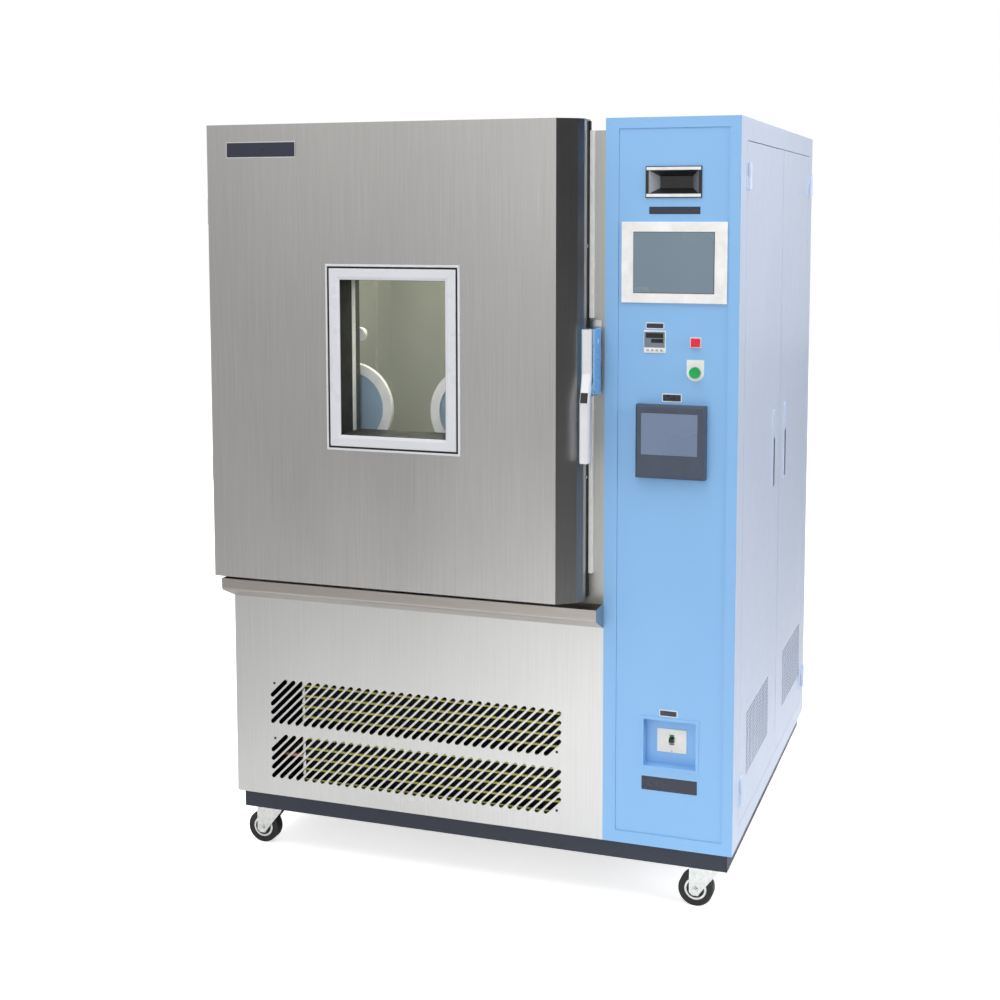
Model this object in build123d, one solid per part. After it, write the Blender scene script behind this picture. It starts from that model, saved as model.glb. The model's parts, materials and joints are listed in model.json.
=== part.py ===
from build123d import *
import os
from math import atan2, cos, degrees, radians

# Environmental test chamber on casters: a stainless chamber body with a front door over a
# refrigeration compartment, beside a painted control cabinet with two side doors.
# Working frame in millimetres: x from the body's left side, y from the cabinet's front face
# towards the back, z from the floor. The last lines move the whole to its reference point,
# the middle of the underside of its bounding box.

# Envelope
closing_edge = 32.0
body_height = 1505.0
control_width = 280.0
control_height = 1530.0
cabinet_depth = 1000.0
sheet = 1.5

# Base frame and casters
base_height = 40.0
base_inset = 12.0
base_tube = 50.0
base_wall = 3.2
caster_pad = 110.0
caster_pad_thickness = 6.0
caster_height = 100.0
caster_inset = 62.0
caster_plate = 70.0
caster_plate_thickness = 4.0
caster_trail = 25.0
wheel_radius = 37.5
wheel_width = 24.0
fork_sheet = 3.0
fork_gap = 2.5
fork_ear = 13.0
fork_crown_gap = 0.3
fork_reach = 30.0
kingpin_radius = 6.0
kingpin_nut = 11.0
kingpin_nut_height = 5.0
axle_radius = 5.0
running_clearance = 0.05

# Chamber
machine_height = 500.0
door_border = 198.0
cavity_height = 800.0
cavity_left = 105.0
cavity_floor = 630.0
insulation_back = 100.0
rear_space = 140.0
liner_sheet = 1.2
plenum_depth = 100.0
baffle_gap = 60.0

# Shelves and their standards
standard_width = 20.0
standard_depth = 8.0
standard_front = 120.0
standard_back_gap = 100.0
shelf_low = 80.0
shelf_high = 630.0
shelf_rim = 6.0
shelf_wire = 4.0
shelf_wire_pitch = 40.0
shelf_front = 62.0
shelf_back_gap = 8.0
shelf_hook = 12.0

# Air circulation
fan_drop = 130.0
fan_radius = 90.0
fan_depth = 40.0
fan_blades = 6
fan_pitch = 40.0
fan_inlet_radius = 80.0
fan_hub_radius = 15.0
fan_shaft_radius = 6.0
fan_plate = 2.0
fan_blade_share = 0.9
fan_to_baffle = 25.0
motor_radius = 55.0
motor_length = 85.0
motor_flange = 150.0
motor_flange_thickness = 5.0
motor_box = 30.0
motor_box_reach = 70.0
shaft_seat = 20.0
shaft_tunnel_radius = 10.0
coil_width = 540.0
coil_height = 300.0
coil_thickness = 60.0
coil_above_floor = 70.0
coil_behind_baffle = 18.0

# Refrigeration compartment
condenser_left = 160.0
condenser_right = 80.0
condenser_height = 410.0
condenser_thickness = 55.0
condenser_behind_panel = 24.0
condenser_end_plate = 2.0
condenser_flange = 6.0
shroud_depth = 75.0
condenser_fan_radius = 145.0
condenser_fan_clearance = 6.0
condenser_fan_depth = 34.0
condenser_fan_blades = 5
condenser_fan_pitch = 58.0
condenser_hub_radius = 34.0
condenser_motor_radius = 42.0
condenser_motor_length = 80.0
condenser_motor_gap = 8.0
motor_bar = 14.0
motor_bar_thickness = 7.0
motor_bar_offset = 21.0
compressor_radius = 95.0
compressor_height = 290.0
compressor_x = 200.0
compressor_y = 620.0
compressor_foot = 200.0
compressor_plate = 5.0
pipe_radius = 7.0
pipe_spacing = 28.0
discharge_height = 265.0
liquid_height = 80.0

# Front panel of the refrigeration compartment
slot_width = 10.0
slot_pitch = 20.6
slot_run = 96.0
slot_shortest = 30.0
slots_cut_left = 3
slot_margin_left = 93.0
slot_margin_right = 97.0
slot_rows = (45.5, 174.5)
lower_panel_height = 466.0

# Drip gutter
gutter_reach = 57.0
gutter_height = 52.0
gutter_drop = 26.0
gutter_sheet = 1.5
gutter_bend = 9.0
gutter_above_panel = 3.0

# Door
door_width = 848.0
door_height = 999.0
door_bottom = 528.0
door_face = 85.0
door_gap = 3.0
door_sheet = 1.5
bevel_start = 48.0
bevel_knee_back = 10.0
bevel_knee_depth = 25.0
bevel_depth = 39.0
plug_margin = 5.0
plug_reach = 12.0
gasket_margin = 24.0
gasket_width = 22.0
gasket_clearance = 0.3
side_trim_width = 7.0
side_trim_depth = 12.0
side_trim_right = 23.0
side_trim_bottom = 582.0
side_trim_wall = 1.5
side_trim_gap = 5.0

# Door window
window_width = 241.2
window_height = 333.1
window_x = 436.9
window_z = 1028.0
window_frame_width = 24.6
window_frame_proud = 4.0
window_line_width = 4.5
window_trim_width = 4.6
window_trim_proud = 3.0
window_tube = 4.0
window_reveal = 49.0
window_spacer_depth = 27.0
window_spacer_width = 12.0
pane_thickness = 5.0

# Door hinges
hinge_offset_x = 12.0
hinge_offset_y = 20.0
hinge_height = 110.0
hinge_leaf = 5.0
hinge_knuckle_radius = 8.5
hinge_pin_radius = 5.0
hinge_door_leaf = 58.0
hinge_body_leaf = 70.0
hinge_end_margin = 160.0
hinge_axial_gap = 0.5
hinge_side_gap = 0.5

# Door handle
housing_top = 1100.0
housing_height = 137.0
housing_slant = 22.0
housing_width = 28.0
housing_wall = 4.0
housing_front = 62.0
housing_back = 14.0
housing_web = 65.0
lever_width = 19.0
lever_thickness = 12.0
lever_front_gap = 1.0
lever_drop = 273.0
lever_bulge = 17.0
grip_thickness = 15.0
lever_bend_top = 90.0
lever_bend_bottom = 146.0
lever_edge = 2.0
lever_arm_height = 46.0
pivot_drop = 25.0
pivot_back = 35.0
pivot_radius = 5.0
pivot_boss_radius = 12.0
insert_width = 15.0
insert_height = 21.0
insert_drop = 128.0
insert_depth = 4.0
insert_proud = 1.0
hook_width = 8.0
hook_reach = 29.0
hook_height = 9.0
hook_arm = 8.0
keeper_sheet = 3.0
keeper_ear_reach = 10.0
keeper_ear_sheet = 3.0
keeper_bar_radius = 2.5
keeper_bar_above_pivot = 15.0
keeper_width = 24.0
keeper_inner_width = 13.0

# Inner glass door with hand ports
inner_gap = 5.0
inner_hinge_gap = 1.0
inner_glass = 8.0
inner_glass_depth = 30.0
port_radius = 100.0
port_hole_radius = 82.0
port_flange = 12.0
port_cover_radius = 79.0
port_cover_inset = 6.0
port_cover = 4.0
port_spacing = 292.0
port_height = 277.0
port_offset = 5.0
knob_offset = 123.0
knob_height = 440.0
knob_radius = 15.0
knob_depth = 14.0
inner_hinge_x = 7.0
inner_hinge_tab = 8.0
inner_pin_radius = 3.0
inner_barrel_radius = 6.0
inner_clamp_height = 60.0
inner_clamp_width = 36.0
inner_clamp_sheet = 3.0
inner_hinge_margin = 90.0

# Cable port in the left wall
cable_port_radius = 25.0
cable_port_wall = 2.0
cable_port_flange = 35.0
cable_port_flange_thickness = 3.0
cable_port_y = 350.0
cable_port_height = 480.0
plug_clearance = 0.3
cable_plug_head = 31.0
cable_plug_head_length = 11.0

# Control cabinet
frame_left = 28.0
frame_right = 22.5
frame_bottom = 26.0
frame_top = 22.0
panel_recess = 2.0
panel_edge_gap = 0.5
panel_lip = 8.0
side_opening_front = 70.0
side_opening_back = 60.0
side_opening_bottom = 40.0
side_opening_top = 46.0
side_seam = 535.0
side_gap = 1.5
side_lip = 18.0
post_width = 30.0
post_depth = 15.0
post_behind = 3.0

# Side doors, their hinges and handles
side_hinge_height = 55.0
side_hinge_leaf = 2.0
side_hinge_radius = 5.0
side_hinge_pin_radius = 2.5
side_leaf_clear = 4.2
side_fixed_leaf = 12.0
side_moving_leaf = 32.0
side_hinge_top_margin = 73.0
side_hinge_bottom_margin = 73.0
vent_columns = 7
vent_rows = 16
vent_column_pitch = 41.0
vent_row_pitch = 8.8
vent_slot = 32.0
vent_slot_height = 4.5
vent_above_bottom = 152.0
front_vent_from_hinge = 216.0
rear_vent_from_hinge = 168.0
front_flush_from_seam = 84.5
rear_flush_from_seam = 72.5
flush_height = 182.0
flush_width = 26.0
flush_flange = 2.0
flush_wall = 2.0
flush_depth = 14.0
flush_centre_above = 753.0
paddle_height = 104.0
paddle_thickness = 5.0
paddle_side_gap = 1.0
paddle_below_top = 72.0
paddle_pin_radius = 2.5
paddle_pin_depth = 5.0
paddle_boss = 5.0
paddle_boss_depth = 3.0
flush_lock_gap = 6.0
flush_lock_proud = 1.0

# Instruments on the control panel: centres measured from the panel's middle line and from
# the top of the cabinet, except the breaker, measured from its bottom
hood_width = 116.5
hood_height = 64.0
hood_drop = 131.0
hood_proud = 3.0
hood_depth = 30.0
hood_wall = 5.0
hood_band = 8.0
display_width = 68.0
display_height = 24.5
display_thickness = 4.0
touch_width = 219.7
touch_height = 165.6
touch_drop = 294.5
touch_screen_width = 170.2
touch_screen_height = 125.8
touch_proud = 5.0
touch_case_depth = 45.0
touch_cutout_margin = 8.0
touch_screen_recess = 1.0
touch_offset = 2.2
controller_size = 46.3
controller_drop = 457.0
controller_offset = -36.7
controller_proud = 3.0
controller_case = 44.0
controller_depth = 60.0
red_width = 18.4
red_height = 17.0
red_drop = 456.5
red_offset = 49.0
red_proud = 5.0
red_travel = 2.5
red_case = 16.0
red_stem = 10.0
red_collar = 1.8
red_collar_depth = 3.0
green_radius = 11.4
green_drop = 518.0
green_offset = 48.5
green_proud = 7.0
green_depth = 6.0
green_travel = 3.0
legend_width = 36.0
legend_height = 44.0
legend_sheet = 1.0
button_bush_radius = 13.5
button_collar_proud = 2.0
button_case_depth = 40.0
cap_clearance = 0.3
weld_bite = 1.0
recorder_width = 145.7
recorder_height = 152.0
recorder_drop = 661.5
recorder_offset = 1.3
recorder_proud = 22.0
recorder_slope = 4.0
recorder_case = 137.0
recorder_depth = 180.0
recorder_screen_width = 118.9
recorder_screen_height = 87.7
recorder_screen_above = 16.3
recorder_screen_offset = -1.5
recorder_screen_recess = 1.5
breaker_width = 125.0
breaker_height = 114.0
breaker_rise = 225.5
breaker_offset = 1.5
breaker_flange = 5.0
breaker_depth = 27.0
breaker_face_width = 62.8
breaker_face_height = 50.2
breaker_face_sheet = 2.0
breaker_case_depth = 60.0
toggle_width = 10.0
toggle_height = 8.0
toggle_reach = 9.0
toggle_radius = 6.0
toggle_slot_height = 18.0
toggle_lean = 12.0
breaker_case_margin = 8.0

# Electrical gear inside the control cabinet
gear_plate_front = 260.0
gear_plate_margin = 40.0
gear_plate_sheet = 2.0
gear_plate_standoff = 18.0
gear_standoff = 12.0
gear_row_gap = 40.0
gear_unit = 10.0

# Connections at the back
spout_x = 700.0
spout_height = 60.0
spout_radius = 10.0
spout_bore_radius = 8.0
spout_length = 30.0
spout_flange_radius = 15.0
spout_collar = 4.0
gland_from_right = 80.0
gland_height = 80.0
gland_radius = 18.0
gland_bore_radius = 9.0
gland_length = 28.0
rear_vent_count = 9
rear_vent_length = 300.0
rear_vent_height = 6.0
rear_vent_pitch = 18.0
rear_vent_above = 180.0

# Levels and planes that the sizes above give
cabinet_z = caster_height + base_height
body_width = door_width + closing_edge
total_width = body_width + control_width
body_top = cabinet_z + body_height
control_top = cabinet_z + control_height
deck_z = cabinet_z + machine_height
cavity_width = door_width - door_border
cavity_x0 = cavity_left
cavity_x1 = cavity_left + cavity_width
cavity_z0 = cabinet_z + cavity_floor
cavity_z1 = cavity_z0 + cavity_height
insulation_y1 = cabinet_depth - rear_space
cavity_depth = insulation_y1 - insulation_back
baffle_depth = cavity_depth - plenum_depth
standard_back = baffle_depth - standard_back_gap
lower_panel_top = cabinet_z + lower_panel_height
door_z0 = cabinet_z + door_bottom
door_z1 = door_z0 + door_height
window_mid_z = cabinet_z + window_z
panel_mid_x = body_width + (frame_left + control_width - frame_right) / 2
panel_front = panel_recess
panel_back = panel_recess + sheet
fan_x = cavity_left + cavity_width / 2
port_centre_x = fan_x + port_offset
knob_x = port_centre_x - knob_offset
shelf_depth = baffle_depth - shelf_front - shelf_back_gap
fan_z = cavity_z1 - fan_drop
fan_y0 = baffle_depth + fan_to_baffle
condenser_y0 = condenser_behind_panel
condenser_y1 = condenser_y0 + condenser_thickness
condenser_z0 = cabinet_z + sheet
condenser_width = body_width - condenser_left - condenser_right
condenser_mid_x = condenser_left + condenser_width / 2
condenser_mid_z = condenser_z0 + condenser_height / 2
shroud_y1 = condenser_y1 + shroud_depth
hinge_x = -hinge_offset_x
hinge_y = -hinge_offset_y
pivot_z = cabinet_z + housing_top - pivot_drop
pivot_y = -pivot_back
inner_axis_x = cavity_x0 + inner_hinge_x
inner_axis_y = inner_glass_depth - inner_clamp_sheet


# Shared shapes


def block(x0, x1, y0, y1, z0, z1):
    """Block between two opposite corners."""
    middle = Pos((x0 + x1) / 2, (y0 + y1) / 2, (z0 + z1) / 2)
    return middle * Box(x1 - x0, y1 - y0, z1 - z0)


def rod(axis, x, y, z, radius, length):
    """Round bar along an axis, from the given point in that direction."""
    turn = {"x": Rot(0, 90, 0), "y": Rot(-90, 0, 0), "z": Rot(0, 0, 0)}[axis]
    low = (Align.CENTER, Align.CENTER, Align.MIN)
    return Pos(x, y, z) * turn * Cylinder(radius, length, align=low)


def tube(axis, x, y, z, radius, bore, length):
    """Round tube along an axis."""
    return rod(axis, x, y, z, radius, length) - rod(axis, x, y, z, bore, length)


def along_x(outline, x0, x1):
    """Solid of a closed y, z outline between two x planes."""
    return extrude(Plane.YZ.offset(x0) * make_face(outline), x1 - x0)


def along_y(outline, y0, y1):
    """Solid of a closed x, z outline between two y planes."""
    return extrude(Plane.XZ.offset(-y1) * make_face(outline), y1 - y0)


def along_z(outline, z0, z1):
    """Solid of a closed x, y outline between two z planes."""
    return extrude(Pos(0, 0, z0) * make_face(outline), z1 - z0)


def polygon(*points):
    """Closed outline through the points."""
    return Polyline(*points, close=True)


def ring_y(x0, x1, z0, z1, width, y0, y1):
    """Rectangular ring facing the front, its width inside the given edges."""
    hole = block(x0 + width, x1 - width, y0, y1, z0 + width, z1 - width)
    return block(x0, x1, y0, y1, z0, z1) - hole


def together(solids):
    """Separate solids that make one sub-part."""
    return Compound(children=[solid for part in solids for solid in part.solids()])


# Base and casters


def caster_places():
    """Name and swivel axis of each caster."""
    left = caster_inset
    right = total_width - caster_inset
    front = caster_inset
    back = cabinet_depth - caster_inset
    return {
        "front_left": (left, front),
        "front_right": (right, front),
        "rear_left": (left, back),
        "rear_right": (right, back),
    }


def cross_member_places():
    """Middle of each cross member of the base frame."""
    return [body_width / 2, body_width]


def base_frame():
    """Welded frame of inward channels with two cross members and pads for the casters."""
    x0, x1 = base_inset, total_width - base_inset
    y0, y1 = base_inset, cabinet_depth - base_inset
    z0, z1 = caster_height, cabinet_z
    wall = base_wall
    low, high = z0 + wall, z1 - wall
    frame = block(x0, x1, y0, y1, z0, z1)
    frame -= block(x0 + base_tube, x1 - base_tube, y0 + base_tube, y1 - base_tube, z0, z1)
    frame -= block(x0 + wall, x1 - wall, y0 + wall, y1 - wall, low, high)
    for x in cross_member_places():
        left, right = x - base_tube / 2, x + base_tube / 2
        member = block(left, right, y0 + wall, y1 - wall, z0, z1)
        frame += member - block(left + wall, right, y0 + wall, y1 - wall, low, high)
    for px in (x0, x1 - caster_pad):
        for py in (y0, y1 - caster_pad):
            frame += block(px, px + caster_pad, py, py + caster_pad, z0, z0 + caster_pad_thickness)
    return frame


def caster_plates():
    """Fixed top plates with their kingpins and kingpin nuts."""
    plates = []
    plate_z = caster_height - caster_plate_thickness
    crown_z = plate_z - fork_crown_gap - fork_sheet
    nut_z1 = crown_z - hinge_axial_gap
    nut_z0 = nut_z1 - kingpin_nut_height
    half = caster_plate / 2
    for x, y in caster_places().values():
        plate = block(x - half, x + half, y - half, y + half, plate_z, caster_height)
        plate += rod("z", x, y, nut_z0, kingpin_radius, plate_z - nut_z0)
        plate += Pos(x, y, nut_z0) * extrude(RegularPolygon(kingpin_nut, 6), kingpin_nut_height)
        plates.append(plate)
    return together(plates)


def caster_fork(x, y):
    """Pressed fork: crown on the kingpin, two tapered cheeks and the riveted axle."""
    crown_top = caster_height - caster_plate_thickness - fork_crown_gap
    crown_z = crown_top - fork_sheet
    axle_x = x - caster_trail
    left, right = axle_x - fork_ear, x + fork_reach
    inner = wheel_width / 2 + fork_gap
    outer = inner + fork_sheet
    ear = fork_ear / 2
    cheek = polygon(
        (left, crown_top),
        (right, crown_top),
        (right - ear, crown_z - 2 * ear),
        (axle_x + fork_ear, wheel_radius - ear / 2),
        (axle_x + ear, wheel_radius - fork_ear),
        (axle_x - ear, wheel_radius - fork_ear),
        (left, wheel_radius - ear),
    )
    fork = block(left, right, y - outer, y + outer, crown_z, crown_top)
    fork += along_y(cheek, y - outer, y - inner) + along_y(cheek, y + inner, y + outer)
    fork -= rod("z", x, y, crown_z, kingpin_radius + running_clearance, fork_sheet)
    return fork + rod("y", axle_x, y - inner, wheel_radius, axle_radius, 2 * inner)


def caster_wheel(x, y):
    """Solid tyre on its hub, bored for the axle."""
    bore = axle_radius + running_clearance
    return tube("y", x - caster_trail, y - wheel_width / 2, wheel_radius, wheel_radius, bore, wheel_width)


# Chamber body


def body_panels():
    """Stainless side, top and rear sheets, the compartment's floor pan and its deck."""
    y1 = cabinet_depth
    port_z = cavity_z0 + cable_port_height
    left = block(0, sheet, sheet, y1, cabinet_z, body_top)
    left -= rod("x", 0, cable_port_y, port_z, cable_port_radius + cable_port_wall, sheet)
    right = block(body_width - sheet, body_width, sheet, y1, cabinet_z, body_top)
    top = block(sheet, body_width - sheet, sheet, y1, body_top - sheet, body_top)
    rear = block(sheet, body_width - sheet, y1 - sheet, y1, cabinet_z, body_top - sheet)
    hole_radius = spout_radius + running_clearance
    rear -= rod("y", spout_x, y1 - sheet, cabinet_z + spout_height, hole_radius, sheet)
    for row in range(rear_vent_count):
        z = cabinet_z + rear_vent_above + row * rear_vent_pitch
        x = body_width / 2 - rear_vent_length / 2
        rear -= block(x, x + rear_vent_length, y1 - sheet, y1, z, z + rear_vent_height)
    inner = (sheet, body_width - sheet, sheet, y1 - sheet)
    floor_pan = block(*inner, cabinet_z, cabinet_z + sheet)
    deck = block(*inner, deck_z - sheet, deck_z)
    return together([left, right, top, rear, floor_pan, deck])


def cavity_block(wall):
    """The chamber's inner space grown by a wall on every side but the front."""
    return block(
        cavity_x0 - wall,
        cavity_x1 + wall,
        0,
        cavity_depth + wall,
        cavity_z0 - wall,
        cavity_z1 + wall,
    )


def wall_passages(radius_port, radius_shaft):
    """Bores through the left wall for the cable port and through the back for the fan shaft."""
    port = rod("x", 0, cable_port_y, cavity_z0 + cable_port_height, radius_port, cavity_x0)
    shaft = rod("y", fan_x, baffle_depth, fan_z, radius_shaft, insulation_y1 - baffle_depth)
    return port + shaft


def chamber_insulation():
    """Foamed wall between the outer sheets and the liner."""
    foam = block(sheet, body_width - sheet, sheet, insulation_y1, deck_z, body_top - sheet)
    foam -= cavity_block(liner_sheet)
    return foam - wall_passages(cable_port_radius + cable_port_wall, shaft_tunnel_radius)


def inner_hinge_levels():
    """Middle height of each hinge of the inner door."""
    low = cavity_z0 + inner_gap + inner_hinge_margin
    high = cavity_z1 - inner_gap - inner_hinge_margin
    return [low, high]


def chamber_liner():
    """Liner box with its front flange and edge strips, and the tabs that carry the inner door."""
    liner = cavity_block(liner_sheet) - cavity_block(0)
    flange = block(0, body_width, 0, sheet, lower_panel_top, body_top)
    liner += flange - block(cavity_x0, cavity_x1, 0, sheet, cavity_z0, cavity_z1)
    bore = inner_pin_radius + running_clearance
    y0, y1 = inner_axis_y - inner_barrel_radius, inner_axis_y + inner_barrel_radius
    for level in inner_hinge_levels():
        z = level - inner_clamp_height / 2 - hinge_axial_gap - inner_hinge_tab
        tab = block(cavity_x0, inner_axis_x, y0, y1, z, z + inner_hinge_tab)
        tab += rod("z", inner_axis_x, inner_axis_y, z, inner_barrel_radius, inner_hinge_tab)
        liner += tab - rod("z", inner_axis_x, inner_axis_y, z, bore, inner_hinge_tab)
    liner -= wall_passages(cable_port_radius + cable_port_wall, shaft_tunnel_radius)
    return together([liner] + side_trim())


def side_trim():
    """Bright upright strip that edges the front flange beside the door, parted at the keeper."""
    x1 = body_width - side_trim_right
    x0 = x1 - side_trim_width
    keeper_z0, keeper_z1 = keeper_span()
    wall = side_trim_wall
    strips = []
    for z0, z1 in (
        (cabinet_z + side_trim_bottom, keeper_z0 - side_trim_gap),
        (keeper_z1 + side_trim_gap, body_top),
    ):
        strip = block(x0, x1, -side_trim_depth, 0, z0, z1)
        strips.append(strip - block(x0 + wall, x1 - wall, wall - side_trim_depth, 0, z0, z1))
    return strips


def slanted_slot(x0, z0, x1, z1):
    """Long slot cut through the front sheet between two end centres, its ends faceted."""
    length = ((x1 - x0) ** 2 + (z1 - z0) ** 2) ** 0.5
    half, end = length / 2, slot_width / 2
    tip = half + end * cos(radians(30))
    side = end / 2
    outline = polygon(
        (half, end),
        (tip, side),
        (tip, -side),
        (half, -end),
        (-half, -end),
        (-tip, -side),
        (-tip, side),
        (-half, end),
    )
    place = Plane.XZ.offset(-sheet) * Pos((x0 + x1) / 2, (z0 + z1) / 2) * Rot(0, 0, 45)
    return extrude(place * make_face(outline), sheet)


def front_lower_panel():
    """Front sheet of the refrigeration compartment with two bands of slanted slots."""
    panel = block(0, body_width, 0, sheet, cabinet_z, lower_panel_top)
    left, right = slot_margin_left, body_width - slot_margin_right
    cuts = []
    for rise in slot_rows:
        low = cabinet_z + rise
        high = low + slot_run
        x = left - slots_cut_left * slot_pitch
        while x < right - slot_shortest:
            trim_left = max(0.0, left - x)
            trim_right = max(0.0, x + slot_run - right)
            start = (x + trim_left, low + trim_left)
            end = (x + slot_run - trim_right, high - trim_right)
            cuts.append(slanted_slot(*start, *end))
            x += slot_pitch
    return panel - cuts


def drip_gutter():
    """Folded channel across the front under the door, with closed ends."""
    z0 = lower_panel_top - gutter_above_panel
    z1 = z0 + gutter_height
    outer = make_face(polygon((0, z0), (0, z1), (-gutter_reach, z1), (-gutter_reach, z0 + gutter_drop)))
    low_corner = outer.vertices().sort_by(Axis.X)[0:2].sort_by(Axis.Y)[0]
    outer = fillet(low_corner, gutter_bend)
    hollow = offset(outer, -gutter_sheet)
    body = extrude(Plane.YZ * outer, body_width)
    inside = extrude(Plane.YZ.offset(gutter_sheet) * hollow, body_width - 2 * gutter_sheet)
    return body - inside - Pos(0, 0, gutter_sheet) * inside


# Inside the chamber


def standard_places():
    """Inner face x, direction into the chamber and y of each shelf standard."""
    places = []
    for x, inward in ((cavity_x0, 1), (cavity_x1, -1)):
        for y in (standard_front, standard_back):
            places.append((x, inward, y))
    return places


def shelf_levels():
    """Underside of each wire shelf."""
    return [cavity_z0 + shelf_low, cavity_z0 + shelf_high]


def shelf_standards():
    """Upright strips on the side walls with the hooks that carry the shelves."""
    strips = []
    for x, inward, y in standard_places():
        far = x + inward * standard_depth
        hook = far + inward * shelf_hook
        strip = block(min(x, far), max(x, far), y, y + standard_width, cavity_z0, cavity_z1)
        for level in shelf_levels():
            hook_z = level - shelf_hook
            strip += block(min(far, hook), max(far, hook), y, y + standard_width, hook_z, level)
        strips.append(strip)
    return together(strips)


def wire_shelves():
    """Two shelves, each a rim with wires from front to back."""
    shelves = []
    x0 = cavity_x0 + standard_depth + cap_clearance
    x1 = cavity_x1 - standard_depth - cap_clearance
    y0, y1 = shelf_front, shelf_front + shelf_depth
    count = int((x1 - x0) / shelf_wire_pitch)
    step = (x1 - x0) / count
    for level in shelf_levels():
        rim = shelf_rim
        shelf = block(x0, x1, y0, y1, level, level + rim)
        shelf -= block(x0 + rim, x1 - rim, y0 + rim, y1 - rim, level, level + rim)
        for index in range(1, count):
            x = x0 + index * step
            z0 = level + shelf_rim - shelf_wire
            wire = block(x - shelf_wire / 2, x + shelf_wire / 2, y0, y1, z0, z0 + shelf_wire)
            shelf += wire
        shelves.append(shelf)
    return together(shelves)


def plenum_baffle():
    """Sheet that parts the test space from the air duct, with the fan's inlet."""
    z0 = cavity_z0 + baffle_gap
    y1 = baffle_depth + sheet
    sheet_wall = block(cavity_x0, cavity_x1, baffle_depth, y1, z0, cavity_z1)
    return sheet_wall - rod("y", fan_x, baffle_depth, fan_z, fan_inlet_radius, sheet)


def evaporator_coil():
    """Finned coil in the air duct, standing on two feet."""
    x0 = fan_x - coil_width / 2
    x1 = fan_x + coil_width / 2
    y0 = baffle_depth + sheet + coil_behind_baffle
    y1 = y0 + coil_thickness
    z0 = cavity_z0 + coil_above_floor
    coil = block(x0, x1, y0, y1, z0, z0 + coil_height)
    for foot_x in (x0, x1 - coil_thickness):
        coil += block(foot_x, foot_x + coil_thickness, y0, y1, cavity_z0, z0)
    return coil


def fan_wheel(radius, hub, depth, blades, pitch_angle):
    """Axial wheel about the y axis from y = 0: hub and pitched blades."""
    wheel = rod("y", 0, 0, 0, hub, depth)
    chord = depth / cos(radians(pitch_angle))
    root = hub / 2
    for index in range(blades):
        place = Rot(0, index * 360 / blades, 0) * Pos((root + radius) / 2, depth / 2, 0)
        blade = Box(radius - root, fan_plate, chord * fan_blade_share)
        wheel += place * Rot(90 - pitch_angle, 0, 0) * blade
    return wheel


def circulation_fan():
    """Fan wheel in the duct with its long shaft to the motor."""
    rotor = fan_wheel(fan_radius, fan_hub_radius, fan_depth, fan_blades, fan_pitch)
    wheel = Pos(fan_x, fan_y0, fan_z) * rotor
    end = insulation_y1 + motor_flange_thickness + shaft_seat - hinge_axial_gap
    return wheel + rod("y", fan_x, fan_y0, fan_z, fan_shaft_radius, end - fan_y0)


def fan_motor():
    """Motor on its flange behind the insulated back wall."""
    y0 = insulation_y1
    half = motor_flange / 2
    motor = block(fan_x - half, fan_x + half, y0, y0 + motor_flange_thickness, fan_z - half, fan_z + half)
    box_x0, box_x1 = fan_x - motor_box / 2, fan_x + motor_box / 2
    motor += block(box_x0, box_x1, y0, y0 + motor_length / 2, fan_z, fan_z + motor_box_reach)
    motor += rod("y", fan_x, y0, fan_z, motor_radius, motor_flange_thickness + motor_length)
    bore = fan_shaft_radius + running_clearance
    return motor - rod("y", fan_x, y0, fan_z, bore, motor_flange_thickness + shaft_seat)


# Refrigeration compartment


def condenser_coil():
    """Finned coil between two end plates behind the slotted panel."""
    x0, x1 = condenser_left, condenser_left + condenser_width
    z0, z1 = condenser_z0, condenser_z0 + condenser_height
    rim = condenser_flange
    coil = block(x0, x1, condenser_y0, condenser_y1, z0, z1)
    for x in (x0, x1 - condenser_end_plate):
        coil += block(x, x + condenser_end_plate, condenser_y0 - rim, condenser_y1, z0, z1)
    return coil


def condenser_shroud():
    """Open box that gathers the air to the fan's round opening."""
    x0, x1 = condenser_left, condenser_left + condenser_width
    z0, z1 = condenser_z0, condenser_z0 + condenser_height
    shroud = block(x0, x1, condenser_y1, shroud_y1, z0, z1)
    shroud -= block(x0 + sheet, x1 - sheet, condenser_y1, shroud_y1 - sheet, z0 + sheet, z1 - sheet)
    opening = condenser_fan_radius + condenser_fan_clearance
    return shroud - rod("y", condenser_mid_x, shroud_y1 - sheet, condenser_mid_z, opening, sheet)


def condenser_fan_y():
    """Front plane of the condenser fan, half sunk in the shroud's opening."""
    return shroud_y1 - condenser_fan_depth / 2


def condenser_fan():
    """Condenser fan wheel with its short shaft."""
    y0 = condenser_fan_y()
    sizes = (condenser_fan_radius, condenser_hub_radius, condenser_fan_depth)
    wheel = fan_wheel(*sizes, condenser_fan_blades, condenser_fan_pitch)
    shaft_end = y0 + condenser_fan_depth + condenser_motor_gap + shaft_seat - hinge_axial_gap
    shaft = rod("y", condenser_mid_x, y0, condenser_mid_z, fan_shaft_radius, shaft_end - y0)
    return Pos(condenser_mid_x, y0, condenser_mid_z) * wheel + shaft


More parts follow.
